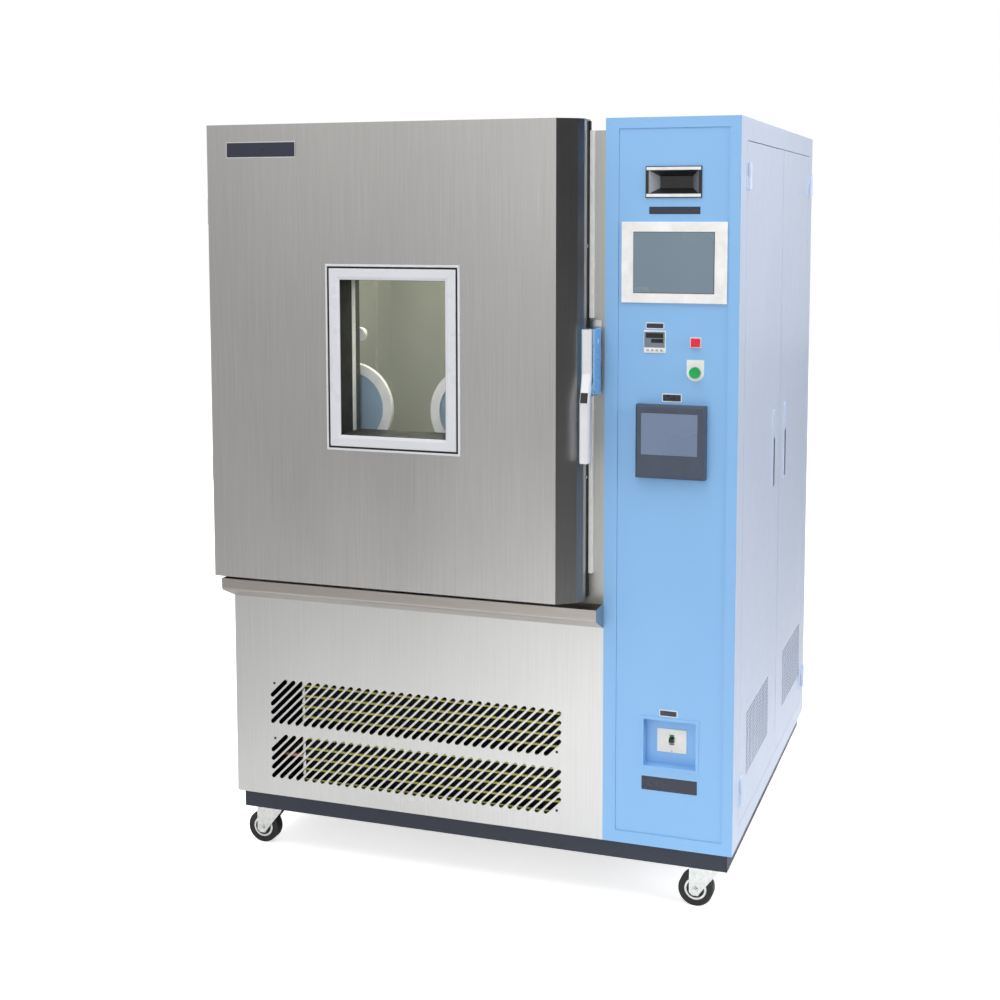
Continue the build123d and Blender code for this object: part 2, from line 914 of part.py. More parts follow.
def condenser_motor():
    """Motor on two bars that stand off the shroud."""
    y0 = condenser_fan_y() + condenser_fan_depth + condenser_motor_gap
    x, z = condenser_mid_x, condenser_mid_z
    motor = rod("y", x, y0, z, condenser_motor_radius, condenser_motor_length)
    reach = condenser_fan_radius + condenser_fan_clearance + motor_bar
    bar_y1 = y0 + motor_bar_thickness
    for side in (-1, 1):
        bar_z = z + side * motor_bar_offset
        z0, z1 = bar_z - motor_bar / 2, bar_z + motor_bar / 2
        motor += block(x - reach, x + reach, y0, bar_y1, z0, z1)
        for end in (x - reach, x + reach - motor_bar_thickness):
            motor += block(end, end + motor_bar_thickness, shroud_y1, bar_y1, z0, z1)
    return motor - rod("y", x, y0, z, fan_shaft_radius + running_clearance, shaft_seat)


def compressor():
    """Hermetic compressor on its foot plate."""
    z0 = cabinet_z + sheet
    half = compressor_foot / 2
    x, y = compressor_x, compressor_y
    foot = block(x - half, x + half, y - half, y + half, z0, z0 + compressor_plate)
    shell_height = compressor_height - compressor_plate
    shell = rod("z", x, y, z0 + compressor_plate, compressor_radius, shell_height)
    shell = chamfer(shell.edges().group_by(Axis.Z)[-1], compressor_radius / 3, compressor_radius / 2)
    return foot + shell


def refrigerant_pipes():
    """Copper lines with mitred elbows, from the condenser's end plate to the compressor and the deck."""
    x_end = condenser_left
    y_coil = (condenser_y0 + condenser_y1) / 2
    run_x = compressor_x - compressor_radius * 0.8
    touch_y = compressor_y - compressor_radius * 0.6 + pipe_radius / 2
    z_high = condenser_z0 + discharge_height
    z_low = condenser_z0 + liquid_height
    rise_y = compressor_y + compressor_radius * 2
    low_x = run_x - pipe_spacing
    discharge = [(x_end, y_coil, z_high), (run_x, y_coil, z_high), (run_x, touch_y, z_high)]
    liquid = [
        (x_end, y_coil, z_low),
        (low_x, y_coil, z_low),
        (low_x, rise_y, z_low),
        (low_x, rise_y, deck_z - sheet),
    ]
    pipes = []
    for route in (discharge, liquid):
        path = Polyline(*route)
        section = Plane(origin=path @ 0, z_dir=path % 0) * Circle(pipe_radius)
        pipes.append(sweep(section, path=path, transition=Transition.RIGHT))
    shell = rod("z", compressor_x, compressor_y, cabinet_z, compressor_radius, compressor_height)
    pipes[0] -= shell
    return together(pipes)


# Cable port


def cable_port_sleeve():
    """Lined bore through the left wall, flanged outside."""
    z = cavity_z0 + cable_port_height
    outer = cable_port_radius + cable_port_wall
    flange = cable_port_flange_thickness
    sleeve = rod("x", 0, cable_port_y, z, outer, cavity_x0)
    sleeve += rod("x", -flange, cable_port_y, z, cable_port_flange, flange)
    return sleeve - rod("x", -flange, cable_port_y, z, cable_port_radius, cavity_x0 + flange)


def cable_port_plug():
    """Soft plug with a grip head outside."""
    z = cavity_z0 + cable_port_height
    flange = cable_port_flange_thickness
    head_x = -flange - plug_clearance - cable_plug_head_length
    plug = rod("x", head_x, cable_port_y, z, cable_plug_head, cable_plug_head_length)
    stem_length = cavity_x0 - head_x
    return plug + rod("x", head_x, cable_port_y, z, cable_port_radius - plug_clearance, stem_length)


# Door


def door_plan(inset):
    """Plan outline of the door with its bevelled right edge, moved in by a wall."""
    x0, x1 = inset, door_width - inset
    y0 = inset - door_face
    knee_x = door_width - bevel_knee_back
    start_x = door_width - bevel_start
    return polygon(
        (x0, -door_gap),
        (x0, y0),
        (start_x - inset / 2, y0),
        (knee_x - inset, bevel_knee_depth - door_face + inset / 2),
        (x1, bevel_depth - door_face + inset / 4),
        (x1, -door_gap),
    )


def window_box(grow, y0, y1):
    """Block of the window's clear opening, grown on every side."""
    x0, x1, z0, z1 = window_edges(grow)
    return block(x0, x1, y0, y1, z0, z1)


def frame_bars(inner, outer, y0, y1):
    """Four bars between two edges, each edge as left, right, bottom and top."""
    left, right, bottom, top = inner
    outer_left, outer_right, outer_bottom, outer_top = outer
    return [
        block(outer_left, left, y0, y1, outer_bottom, outer_top),
        block(right, outer_right, y0, y1, outer_bottom, outer_top),
        block(left, right, y0, y1, outer_bottom, bottom),
        block(left, right, y0, y1, top, outer_top),
    ]


def window_edges(grow):
    """Left, right, bottom and top of the window's clear opening, grown on every side."""
    half_w = window_width / 2 + grow
    half_h = window_height / 2 + grow
    return window_x - half_w, window_x + half_w, window_mid_z - half_h, window_mid_z + half_h


def window_ring(grow, width, y0, y1):
    """Four bars round the window's clear opening, from a grown edge outwards."""
    return frame_bars(window_edges(grow), window_edges(grow + width), y0, y1)


def door_skin():
    """Outer tray of the door with the window's cut-out."""
    tray = along_z(door_plan(0), door_z0, door_z1)
    tray -= along_z(door_plan(door_sheet), door_z0 + door_sheet, door_z1 - door_sheet)
    return tray - window_box(window_tube, -door_face, door_sheet - door_face)


def plug_block(inset, y0, y1):
    """Block of the door's plug, which enters the chamber's mouth."""
    margin = plug_margin + inset
    return block(cavity_x0 + margin, cavity_x1 - margin, y0, y1, cavity_z0 + margin, cavity_z1 - margin)


def door_inner_panel():
    """Back sheet of the door with its raised plug."""
    x0, x1 = door_sheet, door_width - door_sheet
    z0, z1 = door_z0 + door_sheet, door_z1 - door_sheet
    back = -door_gap
    panel = block(x0, x1, back - door_sheet, back, z0, z1) + plug_block(0, back - door_sheet, plug_reach)
    panel -= plug_block(door_sheet, back - door_sheet, plug_reach - door_sheet)
    return panel - window_box(window_tube, back - door_sheet, plug_reach)


def door_insulation():
    """Foam that fills the door and its plug round the window."""
    back = -door_gap - door_sheet
    foam = along_z(door_plan(door_sheet), door_z0 + door_sheet, door_z1 - door_sheet)
    foam -= block(0, door_width, back, 0, door_z0, door_z1)
    foam += plug_block(door_sheet, back, plug_reach - door_sheet)
    return foam - window_box(window_tube, -door_face, plug_reach)


def door_gasket():
    """Seal between the door's back and the chamber's front flange."""
    x0, x1 = cavity_x0 - gasket_margin - gasket_width, cavity_x1 + gasket_margin + gasket_width
    z0, z1 = cavity_z0 - gasket_margin - gasket_width, cavity_z1 + gasket_margin + gasket_width
    return ring_y(x0, x1, z0, z1, gasket_width, -door_gap, -gasket_clearance)


def window_frame():
    """Bright frame round the opening and the thin trim outside it."""
    face = -door_face
    frame = window_ring(0, window_frame_width, face - window_frame_proud, face)
    trim_grow = window_frame_width + window_line_width
    trim = window_ring(trim_grow, window_trim_width, face - window_trim_proud, face)
    return together(frame + trim)


def window_seal():
    """Black seal line between frame and trim, and the black reveal through the door."""
    face = -door_face
    line = window_ring(window_frame_width, window_line_width, face - window_trim_proud / 2, face)
    reveal = window_ring(0, window_tube, face, plug_reach)
    return together(line + reveal)


def window_spacer():
    """White frame that holds the panes apart."""
    y0 = window_reveal - door_face
    return window_box(0, y0 + pane_thickness, y0 + window_spacer_depth) - window_box(
        -window_spacer_width, y0 + pane_thickness, y0 + window_spacer_depth
    )


def window_glass():
    """Outer, middle and inner panes."""
    y0 = window_reveal - door_face
    outer = window_box(0, y0, y0 + pane_thickness)
    middle_y = y0 + window_spacer_depth
    middle = window_box(0, middle_y, middle_y + pane_thickness)
    inner = window_box(0, plug_reach - pane_thickness, plug_reach)
    return together([outer, middle, inner])


# Door hinges


def door_hinge_levels():
    """Bottom of each door hinge."""
    low = door_z0 + hinge_end_margin
    high = door_z1 - hinge_end_margin - hinge_height
    return [low, high]


def door_hinge_body():
    """Leaves on the body, each with its lower knuckle bored for the pin."""
    leaves = []
    half = hinge_height / 2
    web = (hinge_y - hinge_leaf / 2, hinge_y + hinge_leaf / 2)
    bore = hinge_pin_radius + running_clearance
    for z in door_hinge_levels():
        leaf = block(-hinge_leaf, 0, 0, hinge_body_leaf, z, z + hinge_height)
        leaf += block(-hinge_leaf, -hinge_side_gap, hinge_y, 0, z, z + half)
        leaf += block(hinge_x, -hinge_side_gap, *web, z, z + half)
        leaf += rod("z", hinge_x, hinge_y, z, hinge_knuckle_radius, half)
        leaves.append(leaf - rod("z", hinge_x, hinge_y, z, bore, half))
    return together(leaves)


def door_hinge_door():
    """Leaves on the door's edge, each with its upper knuckle and the pin below it."""
    leaves = []
    half = hinge_height / 2
    web = (hinge_y - hinge_leaf / 2, hinge_y + hinge_leaf / 2)
    for z in door_hinge_levels():
        start = z + half + hinge_axial_gap
        end = z + hinge_height
        leaf = block(-hinge_leaf, 0, hinge_y - hinge_door_leaf, hinge_y, start, end)
        leaf += block(hinge_x, 0, *web, start, end)
        leaf += rod("z", hinge_x, hinge_y, start, hinge_knuckle_radius, end - start)
        leaf += rod("z", hinge_x, hinge_y, z, hinge_pin_radius, start - z)
        leaves.append(leaf)
    return together(leaves)


# Door handle and latch


def housing_x():
    """Left side of the handle housing and of its inner gap, then the gap's right and outer side."""
    left = door_width
    return left, left + housing_wall, left + housing_width - housing_wall, left + housing_width


def handle_housing():
    """Two cheeks joined by a rear web and a slanted bottom; the lever turns between them."""
    x0, x1, x2, x3 = housing_x()
    z1 = cabinet_z + housing_top
    z0 = z1 - housing_height
    outline = polygon(
        (-housing_back, z1),
        (-housing_front, z1),
        (-housing_front, z0 + housing_slant),
        (-housing_front + housing_slant, z0),
        (-housing_back, z0),
    )
    housing = along_x(outline, x0, x3)
    web = housing_wall
    inner = polygon(
        (-housing_back, z1),
        (-housing_front, z1),
        (-housing_front, z0 + housing_slant + web * 1.4),
        (-housing_front + housing_slant, z0 + web * 1.4),
        (-housing_back - web, z0 + web),
        (-housing_back - web, z0 + housing_web),
        (-housing_back, z0 + housing_web),
    )
    housing -= along_x(inner, x1, x2)
    return housing - rod("x", x0, pivot_y, pivot_z, pivot_radius + running_clearance, housing_width)


def lever_levels():
    """Top of the lever, the start and end of its outward bend, and its lower end."""
    top = cabinet_z + housing_top
    return top, top - lever_bend_top, top - lever_bend_bottom, top - lever_drop


def handle_lever():
    """Lever: front bar bent out to the grip, pivot arm, pin and latch hook."""
    x0, x1, x2 = housing_x()[0:3]
    mid_x = (x1 + x2) / 2
    back = -housing_front - lever_front_gap
    front = back - lever_thickness
    top, bend_top, bend_bottom, low = lever_levels()
    outline = polygon(
        (back, top),
        (front, top),
        (front, bend_top),
        (front - lever_bulge, bend_bottom),
        (front - lever_bulge, low),
        (front - lever_bulge + grip_thickness, low),
        (back - lever_bulge + grip_thickness - lever_thickness, bend_bottom - lever_thickness / 2),
        (back, bend_top - lever_thickness / 2),
    )
    bar = along_x(outline, mid_x - lever_width / 2, mid_x + lever_width / 2)
    sides = bar.faces().sort_by(Axis.X)
    bar = chamfer(sides[0].edges() + sides[-1].edges(), lever_edge)
    arm_x0, arm_x1 = mid_x - hook_width / 2, mid_x + hook_width / 2
    arm_top = top - weld_bite
    arm = block(arm_x0, arm_x1, back - weld_bite, pivot_y, top - lever_arm_height, arm_top)
    arm += rod("x", x1 + cap_clearance, pivot_y, pivot_z, pivot_boss_radius, x2 - x1 - 2 * cap_clearance)
    arm += rod("x", x0 + weld_bite, pivot_y, pivot_z, pivot_radius, housing_width - weld_bite)
    nose_y = pivot_y + hook_reach
    hook = block(arm_x0, arm_x1, pivot_y, nose_y, pivot_z - hook_arm / 2, pivot_z + hook_arm / 2)
    hook += block(arm_x0, arm_x1, nose_y - hook_arm, nose_y, pivot_z - hook_arm / 2, pivot_z + hook_height)
    return bar + arm + hook - lever_insert()


def lever_insert():
    """Dark insert set in the lever's bend, a little proud of it."""
    x1, x2 = housing_x()[1:3]
    mid_x = (x1 + x2) / 2
    top, bend_top, bend_bottom = lever_levels()[0:3]
    front = -housing_front - lever_front_gap - lever_thickness
    mid_z = top - insert_drop - insert_height / 2
    share = (bend_top - mid_z) / (bend_top - bend_bottom)
    face = front - lever_bulge * share
    half = insert_height / 2
    slab = Box(insert_width, insert_depth + insert_proud, insert_height)
    lean = Rot(-degrees(atan2(lever_bulge, bend_top - bend_bottom)), 0, 0)
    return Pos(mid_x, face + (insert_depth - insert_proud) / 2, top - insert_drop - half) * lean * slab


def keeper_span():
    """Bottom and top of the latch keeper's base plate."""
    top = cabinet_z + housing_top
    return top - housing_height, top + keeper_bar_above_pivot


def latch_keeper():
    """Keeper on the front flange: base plate, two ears and the bar behind which the hook sits."""
    x1, x2 = housing_x()[1:3]
    mid_x = (x1 + x2) / 2
    half = keeper_width / 2
    gap = keeper_inner_width / 2
    keeper = block(mid_x - half, mid_x + half, -keeper_sheet, 0, *keeper_span())
    bar_z = pivot_z + keeper_bar_above_pivot
    ear_z0, ear_z1 = bar_z - 2 * keeper_bar_radius, bar_z + 2 * keeper_bar_radius
    ear_y = -keeper_sheet - keeper_ear_reach
    for x in (mid_x - gap - keeper_ear_sheet, mid_x + gap):
        keeper += block(x, x + keeper_ear_sheet, ear_y, -keeper_sheet, ear_z0, ear_z1)
    bar_y = ear_y + 1.5 * keeper_bar_radius
    bar_length = keeper_inner_width + 2 * weld_bite
    return keeper + rod("x", mid_x - gap - weld_bite, bar_y, bar_z, keeper_bar_radius, bar_length)


# Inner glass door


def inner_door_span():
    """Left, right, bottom and top of the inner glass door."""
    x0 = inner_axis_x + inner_barrel_radius + inner_hinge_gap
    x1 = cavity_x1 - inner_gap
    return x0, x1, cavity_z0 + inner_gap, cavity_z1 - inner_gap


def port_places():
    """Centre of each hand port."""
    z = cavity_z0 + port_height
    left = port_centre_x - port_spacing / 2
    return [(left, z), (left + port_spacing, z)]


def inner_door_glass():
    """Glass leaf with two round holes."""
    x0, x1, z0, z1 = inner_door_span()
    glass = block(x0, x1, inner_glass_depth, inner_glass_depth + inner_glass, z0, z1)
    for x, z in port_places():
        glass -= rod("y", x, inner_glass_depth, z, port_hole_radius, inner_glass)
    return glass


def arm_port_rings():
    """Rings on the glass round its hand holes."""
    y0 = inner_glass_depth - port_flange
    rings = []
    for x, z in port_places():
        rings.append(tube("y", x, y0, z, port_radius, port_cover_radius + running_clearance, port_flange))
    return together(rings)


def arm_port_covers():
    """Round covers held in the rings."""
    y0 = inner_glass_depth - port_flange + port_cover_inset
    covers = []
    for x, z in port_places():
        covers.append(rod("y", x, y0, z, port_cover_radius, port_cover))
    return together(covers)


def inner_door_fittings():
    """Hinge clamps with their pins on the glass, and the knob that opens the leaf."""
    x0 = inner_door_span()[0]
    fittings = []
    for level in inner_hinge_levels():
        low, high = level - inner_clamp_height / 2, level + inner_clamp_height / 2
        face = inner_glass_depth
        clamp = block(inner_axis_x, x0 + inner_clamp_width, face - inner_clamp_sheet, face, low, high)
        clamp += rod("z", inner_axis_x, inner_axis_y, low, inner_barrel_radius, inner_clamp_height)
        pin_z = low - hinge_axial_gap - inner_hinge_tab
        pin_length = inner_hinge_tab + hinge_axial_gap
        clamp += rod("z", inner_axis_x, inner_axis_y, pin_z, inner_pin_radius, pin_length)
        fittings.append(clamp)
    knob_y = inner_glass_depth - knob_depth
    fittings.append(rod("y", knob_x, knob_y, cavity_z0 + knob_height, knob_radius, knob_depth))
    return together(fittings)


# Control cabinet


def panel_edges(grow):
    """Left, right, bottom and top of the front frame's opening, grown on every side."""
    x0 = body_width + frame_left - grow
    x1 = total_width - frame_right + grow
    return x0, x1, cabinet_z + frame_bottom - grow, control_top - frame_top + grow


def panel_opening(grow, y0, y1):
    """Block of the front frame's opening, grown on every side."""
    x0, x1, z0, z1 = panel_edges(grow)
    return block(x0, x1, y0, y1, z0, z1)


def side_opening():
    """Front, back, bottom and top of the opening in the right side."""
    y0 = side_opening_front
    y1 = cabinet_depth - side_opening_back
    return y0, y1, cabinet_z + side_opening_bottom, control_top - side_opening_top


def side_door_spans():
    """Front and back edge of each side door."""
    y0, y1 = side_opening()[0:2]
    return (y0 + side_gap, side_seam - side_gap), (side_seam + side_gap, y1 - side_gap)


def side_hinge_levels():
    """Bottom of each hinge of a side door."""
    z0, z1 = side_opening()[2:4]
    low = z0 + side_hinge_bottom_margin - side_hinge_height / 2
    high = z1 - side_hinge_top_margin - side_hinge_height / 2
    return [low, high]


def side_axis_x():
    """Middle of the side doors' hinge pins."""
    return total_width + side_hinge_radius + hinge_axial_gap


def side_fixed_leaves(y, inward):
    """Fixed leaves of a side door's hinges with their lower knuckles, beside the opening."""
    x = side_axis_x()
    half = side_hinge_height / 2
    near, far = y - inward * side_leaf_clear, y - inward * side_fixed_leaf
    reach = y - inward * side_hinge_radius
    bore = side_hinge_pin_radius + running_clearance
    leaves = []
    for z in side_hinge_levels():
        leaf_x1 = total_width + side_hinge_leaf
        leaf = block(total_width, leaf_x1, min(near, far), max(near, far), z, z + side_hinge_height)
        leaf += block(total_width, x, min(y, reach), max(y, reach), z, z + half)
        leaf += rod("z", x, y, z, side_hinge_radius, half)
        leaves.append(leaf - rod("z", x, y, z, bore, half))
    return leaves


def cabinet_front():
    """Front frame of the control cabinet, the reveal inside it and the lip behind the panel."""
    edge = (body_width, total_width, cabinet_z, control_top)
    frame = frame_bars(panel_edges(0), edge, 0, sheet)
    reveal = frame_bars(panel_edges(0), panel_edges(sheet), sheet, panel_back)
    lip = frame_bars(panel_edges(-panel_lip), panel_edges(sheet), panel_back, panel_back + sheet)
    return frame + reveal + lip


def cabinet_right_side():
    """Bars round the opening in the control cabinet's right side."""
    x0, x1 = total_width - sheet, total_width
    y1 = cabinet_depth - sheet
    low, high = cabinet_z + sheet, control_top - sheet
    y_front, y_back, z0, z1 = side_opening()
    return [
        block(x0, x1, sheet, y_front, low, high),
        block(x0, x1, y_back, y1, low, high),
        block(x0, x1, y_front, y_back, low, z0),
        block(x0, x1, y_front, y_back, z1, high),
    ]


def control_cabinet_shell():
    """Sheets of the control cabinet, the post between its side doors and their fixed hinge leaves."""
    x0, x1 = body_width, total_width
    y1 = cabinet_depth
    low, high = cabinet_z + sheet, control_top - sheet
    left = block(x0, x0 + sheet, sheet, y1, cabinet_z, control_top)
    bottom = block(x0 + sheet, x1, sheet, y1, cabinet_z, low)
    top = block(x0 + sheet, x1, sheet, y1, high, control_top)
    rear = block(x0 + sheet, x1, y1 - sheet, y1, low, high)
    gland_x = x1 - gland_from_right
    rear -= rod("y", gland_x, y1 - sheet, cabinet_z + gland_height, gland_bore_radius, sheet)
    post_x1 = x1 - sheet - side_lip - post_behind
    post_y0, post_y1 = side_seam - post_width / 2, side_seam + post_width / 2
    post = block(post_x1 - post_depth, post_x1, post_y0, post_y1, low, high)
    y_front, y_back = side_opening()[0:2]
    hinges = side_fixed_leaves(y_front, 1) + side_fixed_leaves(y_back, -1)
    sheets = [left, bottom, top, rear, post] + cabinet_front() + cabinet_right_side()
    return together(sheets + hinges)


def side_door(span, hinge_y_edge, inward, vent_y):
    """Folded door with vent slots over upright bars, moving hinge leaves and the handle dish."""
    y0, y1 = span
    z0, z1 = side_opening()[2] + side_gap, side_opening()[3] - side_gap
    x1 = total_width
    door = block(x1 - side_lip, x1, y0, y1, z0, z1)
    door -= block(x1 - side_lip, x1 - sheet, y0 + sheet, y1 - sheet, z0 + sheet, z1 - sheet)
    first_y = vent_y - (vent_columns - 1) * vent_column_pitch / 2
    first_z = z0 + vent_above_bottom - (vent_rows - 1) * vent_row_pitch / 2
    last_y = first_y + (vent_columns - 1) * vent_column_pitch
    half_y, half_z = vent_slot / 2, vent_slot_height / 2
    slots, bars = [], []
    for row in range(vent_rows):
        z = first_z + row * vent_row_pitch
        slots.append(block(x1 - sheet, x1, first_y - half_y, last_y + half_y, z - half_z, z + half_z))
    for column in range(vent_columns - 1):
        bar_y0 = first_y + column * vent_column_pitch + half_y
        bar_y1 = bar_y0 + vent_column_pitch - vent_slot
        bar_z0, bar_z1 = first_z - vent_row_pitch, z + vent_row_pitch
        bars.append(block(x1 - 2 * sheet, x1 - sheet, bar_y0, bar_y1, bar_z0, bar_z1))
    door -= slots
    flush_y, flush_z = flush_centre(span, inward)
    half_y, half_z = flush_width / 2 - flush_wall, flush_height / 2 - flush_wall
    door -= block(x1 - sheet, x1, flush_y - half_y, flush_y + half_y, flush_z - half_z, flush_z + half_z)
    return together([door, flush_dish(flush_y, flush_z)] + bars + side_moving_leaves(hinge_y_edge, inward))


def side_moving_leaves(y, inward):
    """Moving leaves of a side door's hinges with the upper knuckles and the pins below them."""
    x = side_axis_x()
    half = side_hinge_height / 2
    near, far = y + inward * side_leaf_clear, y + inward * side_moving_leaf
    reach = y + inward * side_hinge_radius
    leaves = []
    for z in side_hinge_levels():
        start, end = z + half + hinge_axial_gap, z + side_hinge_height
        leaf_x1 = total_width + side_hinge_leaf
        leaf = block(total_width, leaf_x1, min(near, far), max(near, far), z, end)
        leaf += block(total_width, x, min(y, reach), max(y, reach), start, end)
        leaf += rod("z", x, y, start, side_hinge_radius, end - start)
        leaf += rod("z", x, y, z, side_hinge_pin_radius, start - z)
        leaves.append(leaf)
    return leaves


def flush_centre(span, inward):
    """Centre of a side door's flush handle."""
    y0, y1 = span
    y = y1 - front_flush_from_seam if inward > 0 else y0 + rear_flush_from_seam
    return y, side_opening()[2] + flush_centre_above


def paddle_pin(z):
    """Place of a flush handle's pin for a dish centred at a height."""
    return total_width - paddle_pin_depth, z + flush_height / 2 - paddle_below_top


def flush_dish(y, z):
    """Dish of a flush handle with its thin outer flange and the lock above the paddle."""
    x1 = total_width
    wall = flush_wall
    half_y, half_z = flush_width / 2, flush_height / 2
    body_y, body_z = half_y - wall, half_z - wall
    inner_y, inner_z = body_y - wall, body_z - wall
    floor_x, front_x = x1 - flush_depth + wall, x1 + flush_flange
    dish = block(x1, front_x, y - half_y, y + half_y, z - half_z, z + half_z)
    dish += block(x1 - flush_depth, x1, y - body_y, y + body_y, z - body_z, z + body_z)
    dish -= block(floor_x, front_x, y - inner_y, y + inner_y, z - inner_z, z + inner_z)
    pin_x, pin_z = paddle_pin(z)
    lock_z = pin_z + paddle_boss + flush_lock_gap
    dish += block(floor_x, front_x + flush_lock_proud, y - inner_y, y + inner_y, lock_z, z + inner_z)
    bore = paddle_pin_radius + running_clearance
    return dish - rod("y", pin_x, y - body_y, pin_z, bore, 2 * body_y)


def flush_paddle(span, inward):
    """Paddle of a flush handle, hung on its pin."""
    y, z = flush_centre(span, inward)
    pin_x, pin_z = paddle_pin(z)
    body_y = flush_width / 2 - flush_wall
    half_y = body_y - flush_wall - paddle_side_gap
    x1 = total_width + flush_flange
    boss_z0, boss_z1 = pin_z - paddle_boss, pin_z + paddle_boss
    paddle = block(x1 - paddle_thickness, x1, y - half_y, y + half_y, pin_z - paddle_height, pin_z)
    paddle += block(pin_x - paddle_boss_depth, x1, y - half_y, y + half_y, boss_z0, boss_z1)
    return paddle + rod("y", pin_x, y - body_y, pin_z, paddle_pin_radius, 2 * body_y)


# Instruments


def instrument(offset, drop):
    """Centre x and z of an instrument from its offset and its drop below the cabinet's top."""
    return panel_mid_x + offset, control_top - drop


def face_block(x, z, width, height, y0, y1):
    """Block of a given width and height centred on a point of the front."""
    return block(x - width / 2, x + width / 2, y0, y1, z - height / 2, z + height / 2)


def breaker_centre():
    """Centre of the breaker's recess."""
    return panel_mid_x + breaker_offset, cabinet_z + breaker_rise


def front_control_panel():
    """Inset panel with a cut-out for each instrument."""
    back, front = panel_back, panel_front
    panel = panel_opening(-panel_edge_gap, front, back)
    hood_x, hood_z = instrument(0, hood_drop)
    inner_w, inner_h = hood_width - 2 * hood_wall, hood_height - 2 * hood_wall
    panel -= face_block(hood_x, hood_z, inner_w, inner_h, front, back)
    touch_x, touch_z = instrument(touch_offset, touch_drop)
    trim = 2 * touch_cutout_margin
    panel -= face_block(touch_x, touch_z, touch_width - trim, touch_height - trim, front, back)
    unit_x, unit_z = instrument(controller_offset, controller_drop)
    panel -= face_block(unit_x, unit_z, controller_case, controller_case, front, back)
    red_x, red_z = instrument(red_offset, red_drop)
    panel -= face_block(red_x, red_z, red_case, red_case, front, back)
    green_x, green_z = instrument(green_offset, green_drop)
    panel -= rod("y", green_x, front, green_z, button_bush_radius + running_clearance, sheet)
    rec_x, rec_z = instrument(recorder_offset, recorder_drop)
    panel -= face_block(rec_x, rec_z, recorder_case, recorder_case, front, back)
    brk_x, brk_z = breaker_centre()
    rim = 2 * breaker_flange
    return panel - face_block(brk_x, brk_z, breaker_width - rim, breaker_height - rim, front, back)


def display_hood():
    """Recessed hood: front bezel with two bright bands' seats, and the cavity behind it."""
    x, z = instrument(0, hood_drop)
    width, height = hood_width, hood_height
    inner_w, inner_h = width - 2 * hood_wall, height - 2 * hood_wall
    hood = face_block(x, z, width, height, panel_front - hood_proud, panel_front)
    hood += face_block(x, z, inner_w, inner_h, panel_front, panel_front + hood_depth)
    mouth_w, mouth_h = inner_w - 2 * sheet, height - 2 * hood_band
    y1 = panel_front + hood_depth - sheet
    return hood - face_block(x, z, mouth_w, mouth_h, panel_front - hood_proud, y1)


def status_display():
    """Dark display at the back of the hood."""
    x, z = instrument(0, hood_drop)
    y1 = panel_front + hood_depth - sheet
    return face_block(x, z, display_width, display_height, y1 - display_thickness, y1)


def touch_panel_bezel():
    """Front bezel of the touch panel with its case behind the panel."""
    x, z = instrument(touch_offset, touch_drop)
    y0 = panel_front - touch_proud
    trim = 2 * touch_cutout_margin
    bezel = face_block(x, z, touch_width, touch_height, y0, panel_front)
    bezel = chamfer(bezel.faces().sort_by(Axis.Y)[0].edges(), touch_screen_recess)
    case_back = panel_front + touch_case_depth
    bezel += face_block(x, z, touch_width - trim, touch_height - trim, panel_front, case_back)
    return bezel - face_block(x, z, touch_screen_width, touch_screen_height, y0, panel_front)


def touch_panel_screen():
    """Screen set in the touch panel's bezel."""
    x, z = instrument(touch_offset, touch_drop)
    y0 = panel_front - touch_proud + touch_screen_recess
    return face_block(x, z, touch_screen_width, touch_screen_height, y0, panel_front)


def overheat_controller():
    """Small square controller with its case behind the panel."""
    x, z = instrument(controller_offset, controller_drop)
    face = face_block(x, z, controller_size, controller_size, panel_front - controller_proud, panel_front)
    face = chamfer(face.faces().sort_by(Axis.Y)[0].edges(), controller_proud / 2)
    case_back = panel_front + controller_depth
    return face + face_block(x, z, controller_case, controller_case, panel_front, case_back)


def red_switch_case():
    """Square collar and case of the red switch."""
    x, z = instrument(red_offset, red_drop)
    grow = 2 * (red_collar + cap_clearance)
    hole = 2 * cap_clearance
    y0 = panel_front - red_collar_depth
    case = face_block(x, z, red_width + grow, red_height + grow, y0, panel_front)
    case -= face_block(x, z, red_width + hole, red_height + hole, y0, panel_front)
    case += face_block(x, z, red_case, red_case, panel_front, panel_front + button_case_depth)
    stem = red_stem + hole
    return case - face_block(x, z, stem, stem, panel_front, panel_front + button_case_depth / 2)


def red_switch():
    """Square push switch with its stem."""
    x, z = instrument(red_offset, red_drop)
    y1 = panel_front - red_travel - cap_clearance
    cap = face_block(x, z, red_width, red_height, y1 - red_proud, y1)
    return cap + face_block(x, z, red_stem, red_stem, y1, panel_front + button_case_depth / 4)


def green_button_case():
    """Round bush and case of the green button."""
    x, z = instrument(green_offset, green_drop)
    front = panel_front - legend_sheet
    length = button_collar_proud + legend_sheet + button_case_depth
    case = rod("y", x, front - button_collar_proud, z, button_bush_radius, length)
    depth = button_collar_proud + legend_sheet + green_depth + green_travel
    return case - rod("y", x, front - button_collar_proud, z, green_radius + cap_clearance, depth)


def green_button():
    """Round push button."""
    x, z = instrument(green_offset, green_drop)
    y0 = panel_front - legend_sheet - button_collar_proud - green_proud
    length = green_proud + button_collar_proud + legend_sheet + green_depth - cap_clearance
    return rod("y", x, y0, z, green_radius, length)


def button_legend_plate():
    """Bare plate under the green button, square above and round below."""
    x, z = instrument(green_offset, green_drop)
    half = legend_width / 2
    top = z - half + legend_height
    outline = [
        Line((x - half, z), (x - half, top)),
        Line((x - half, top), (x + half, top)),
        Line((x + half, top), (x + half, z)),
        ThreePointArc((x + half, z), (x, z - half), (x - half, z)),
    ]
    plate = along_y(outline, panel_front - legend_sheet, panel_front)
    bore = button_bush_radius + running_clearance
    return plate - rod("y", x, panel_front - legend_sheet, z, bore, legend_sheet)


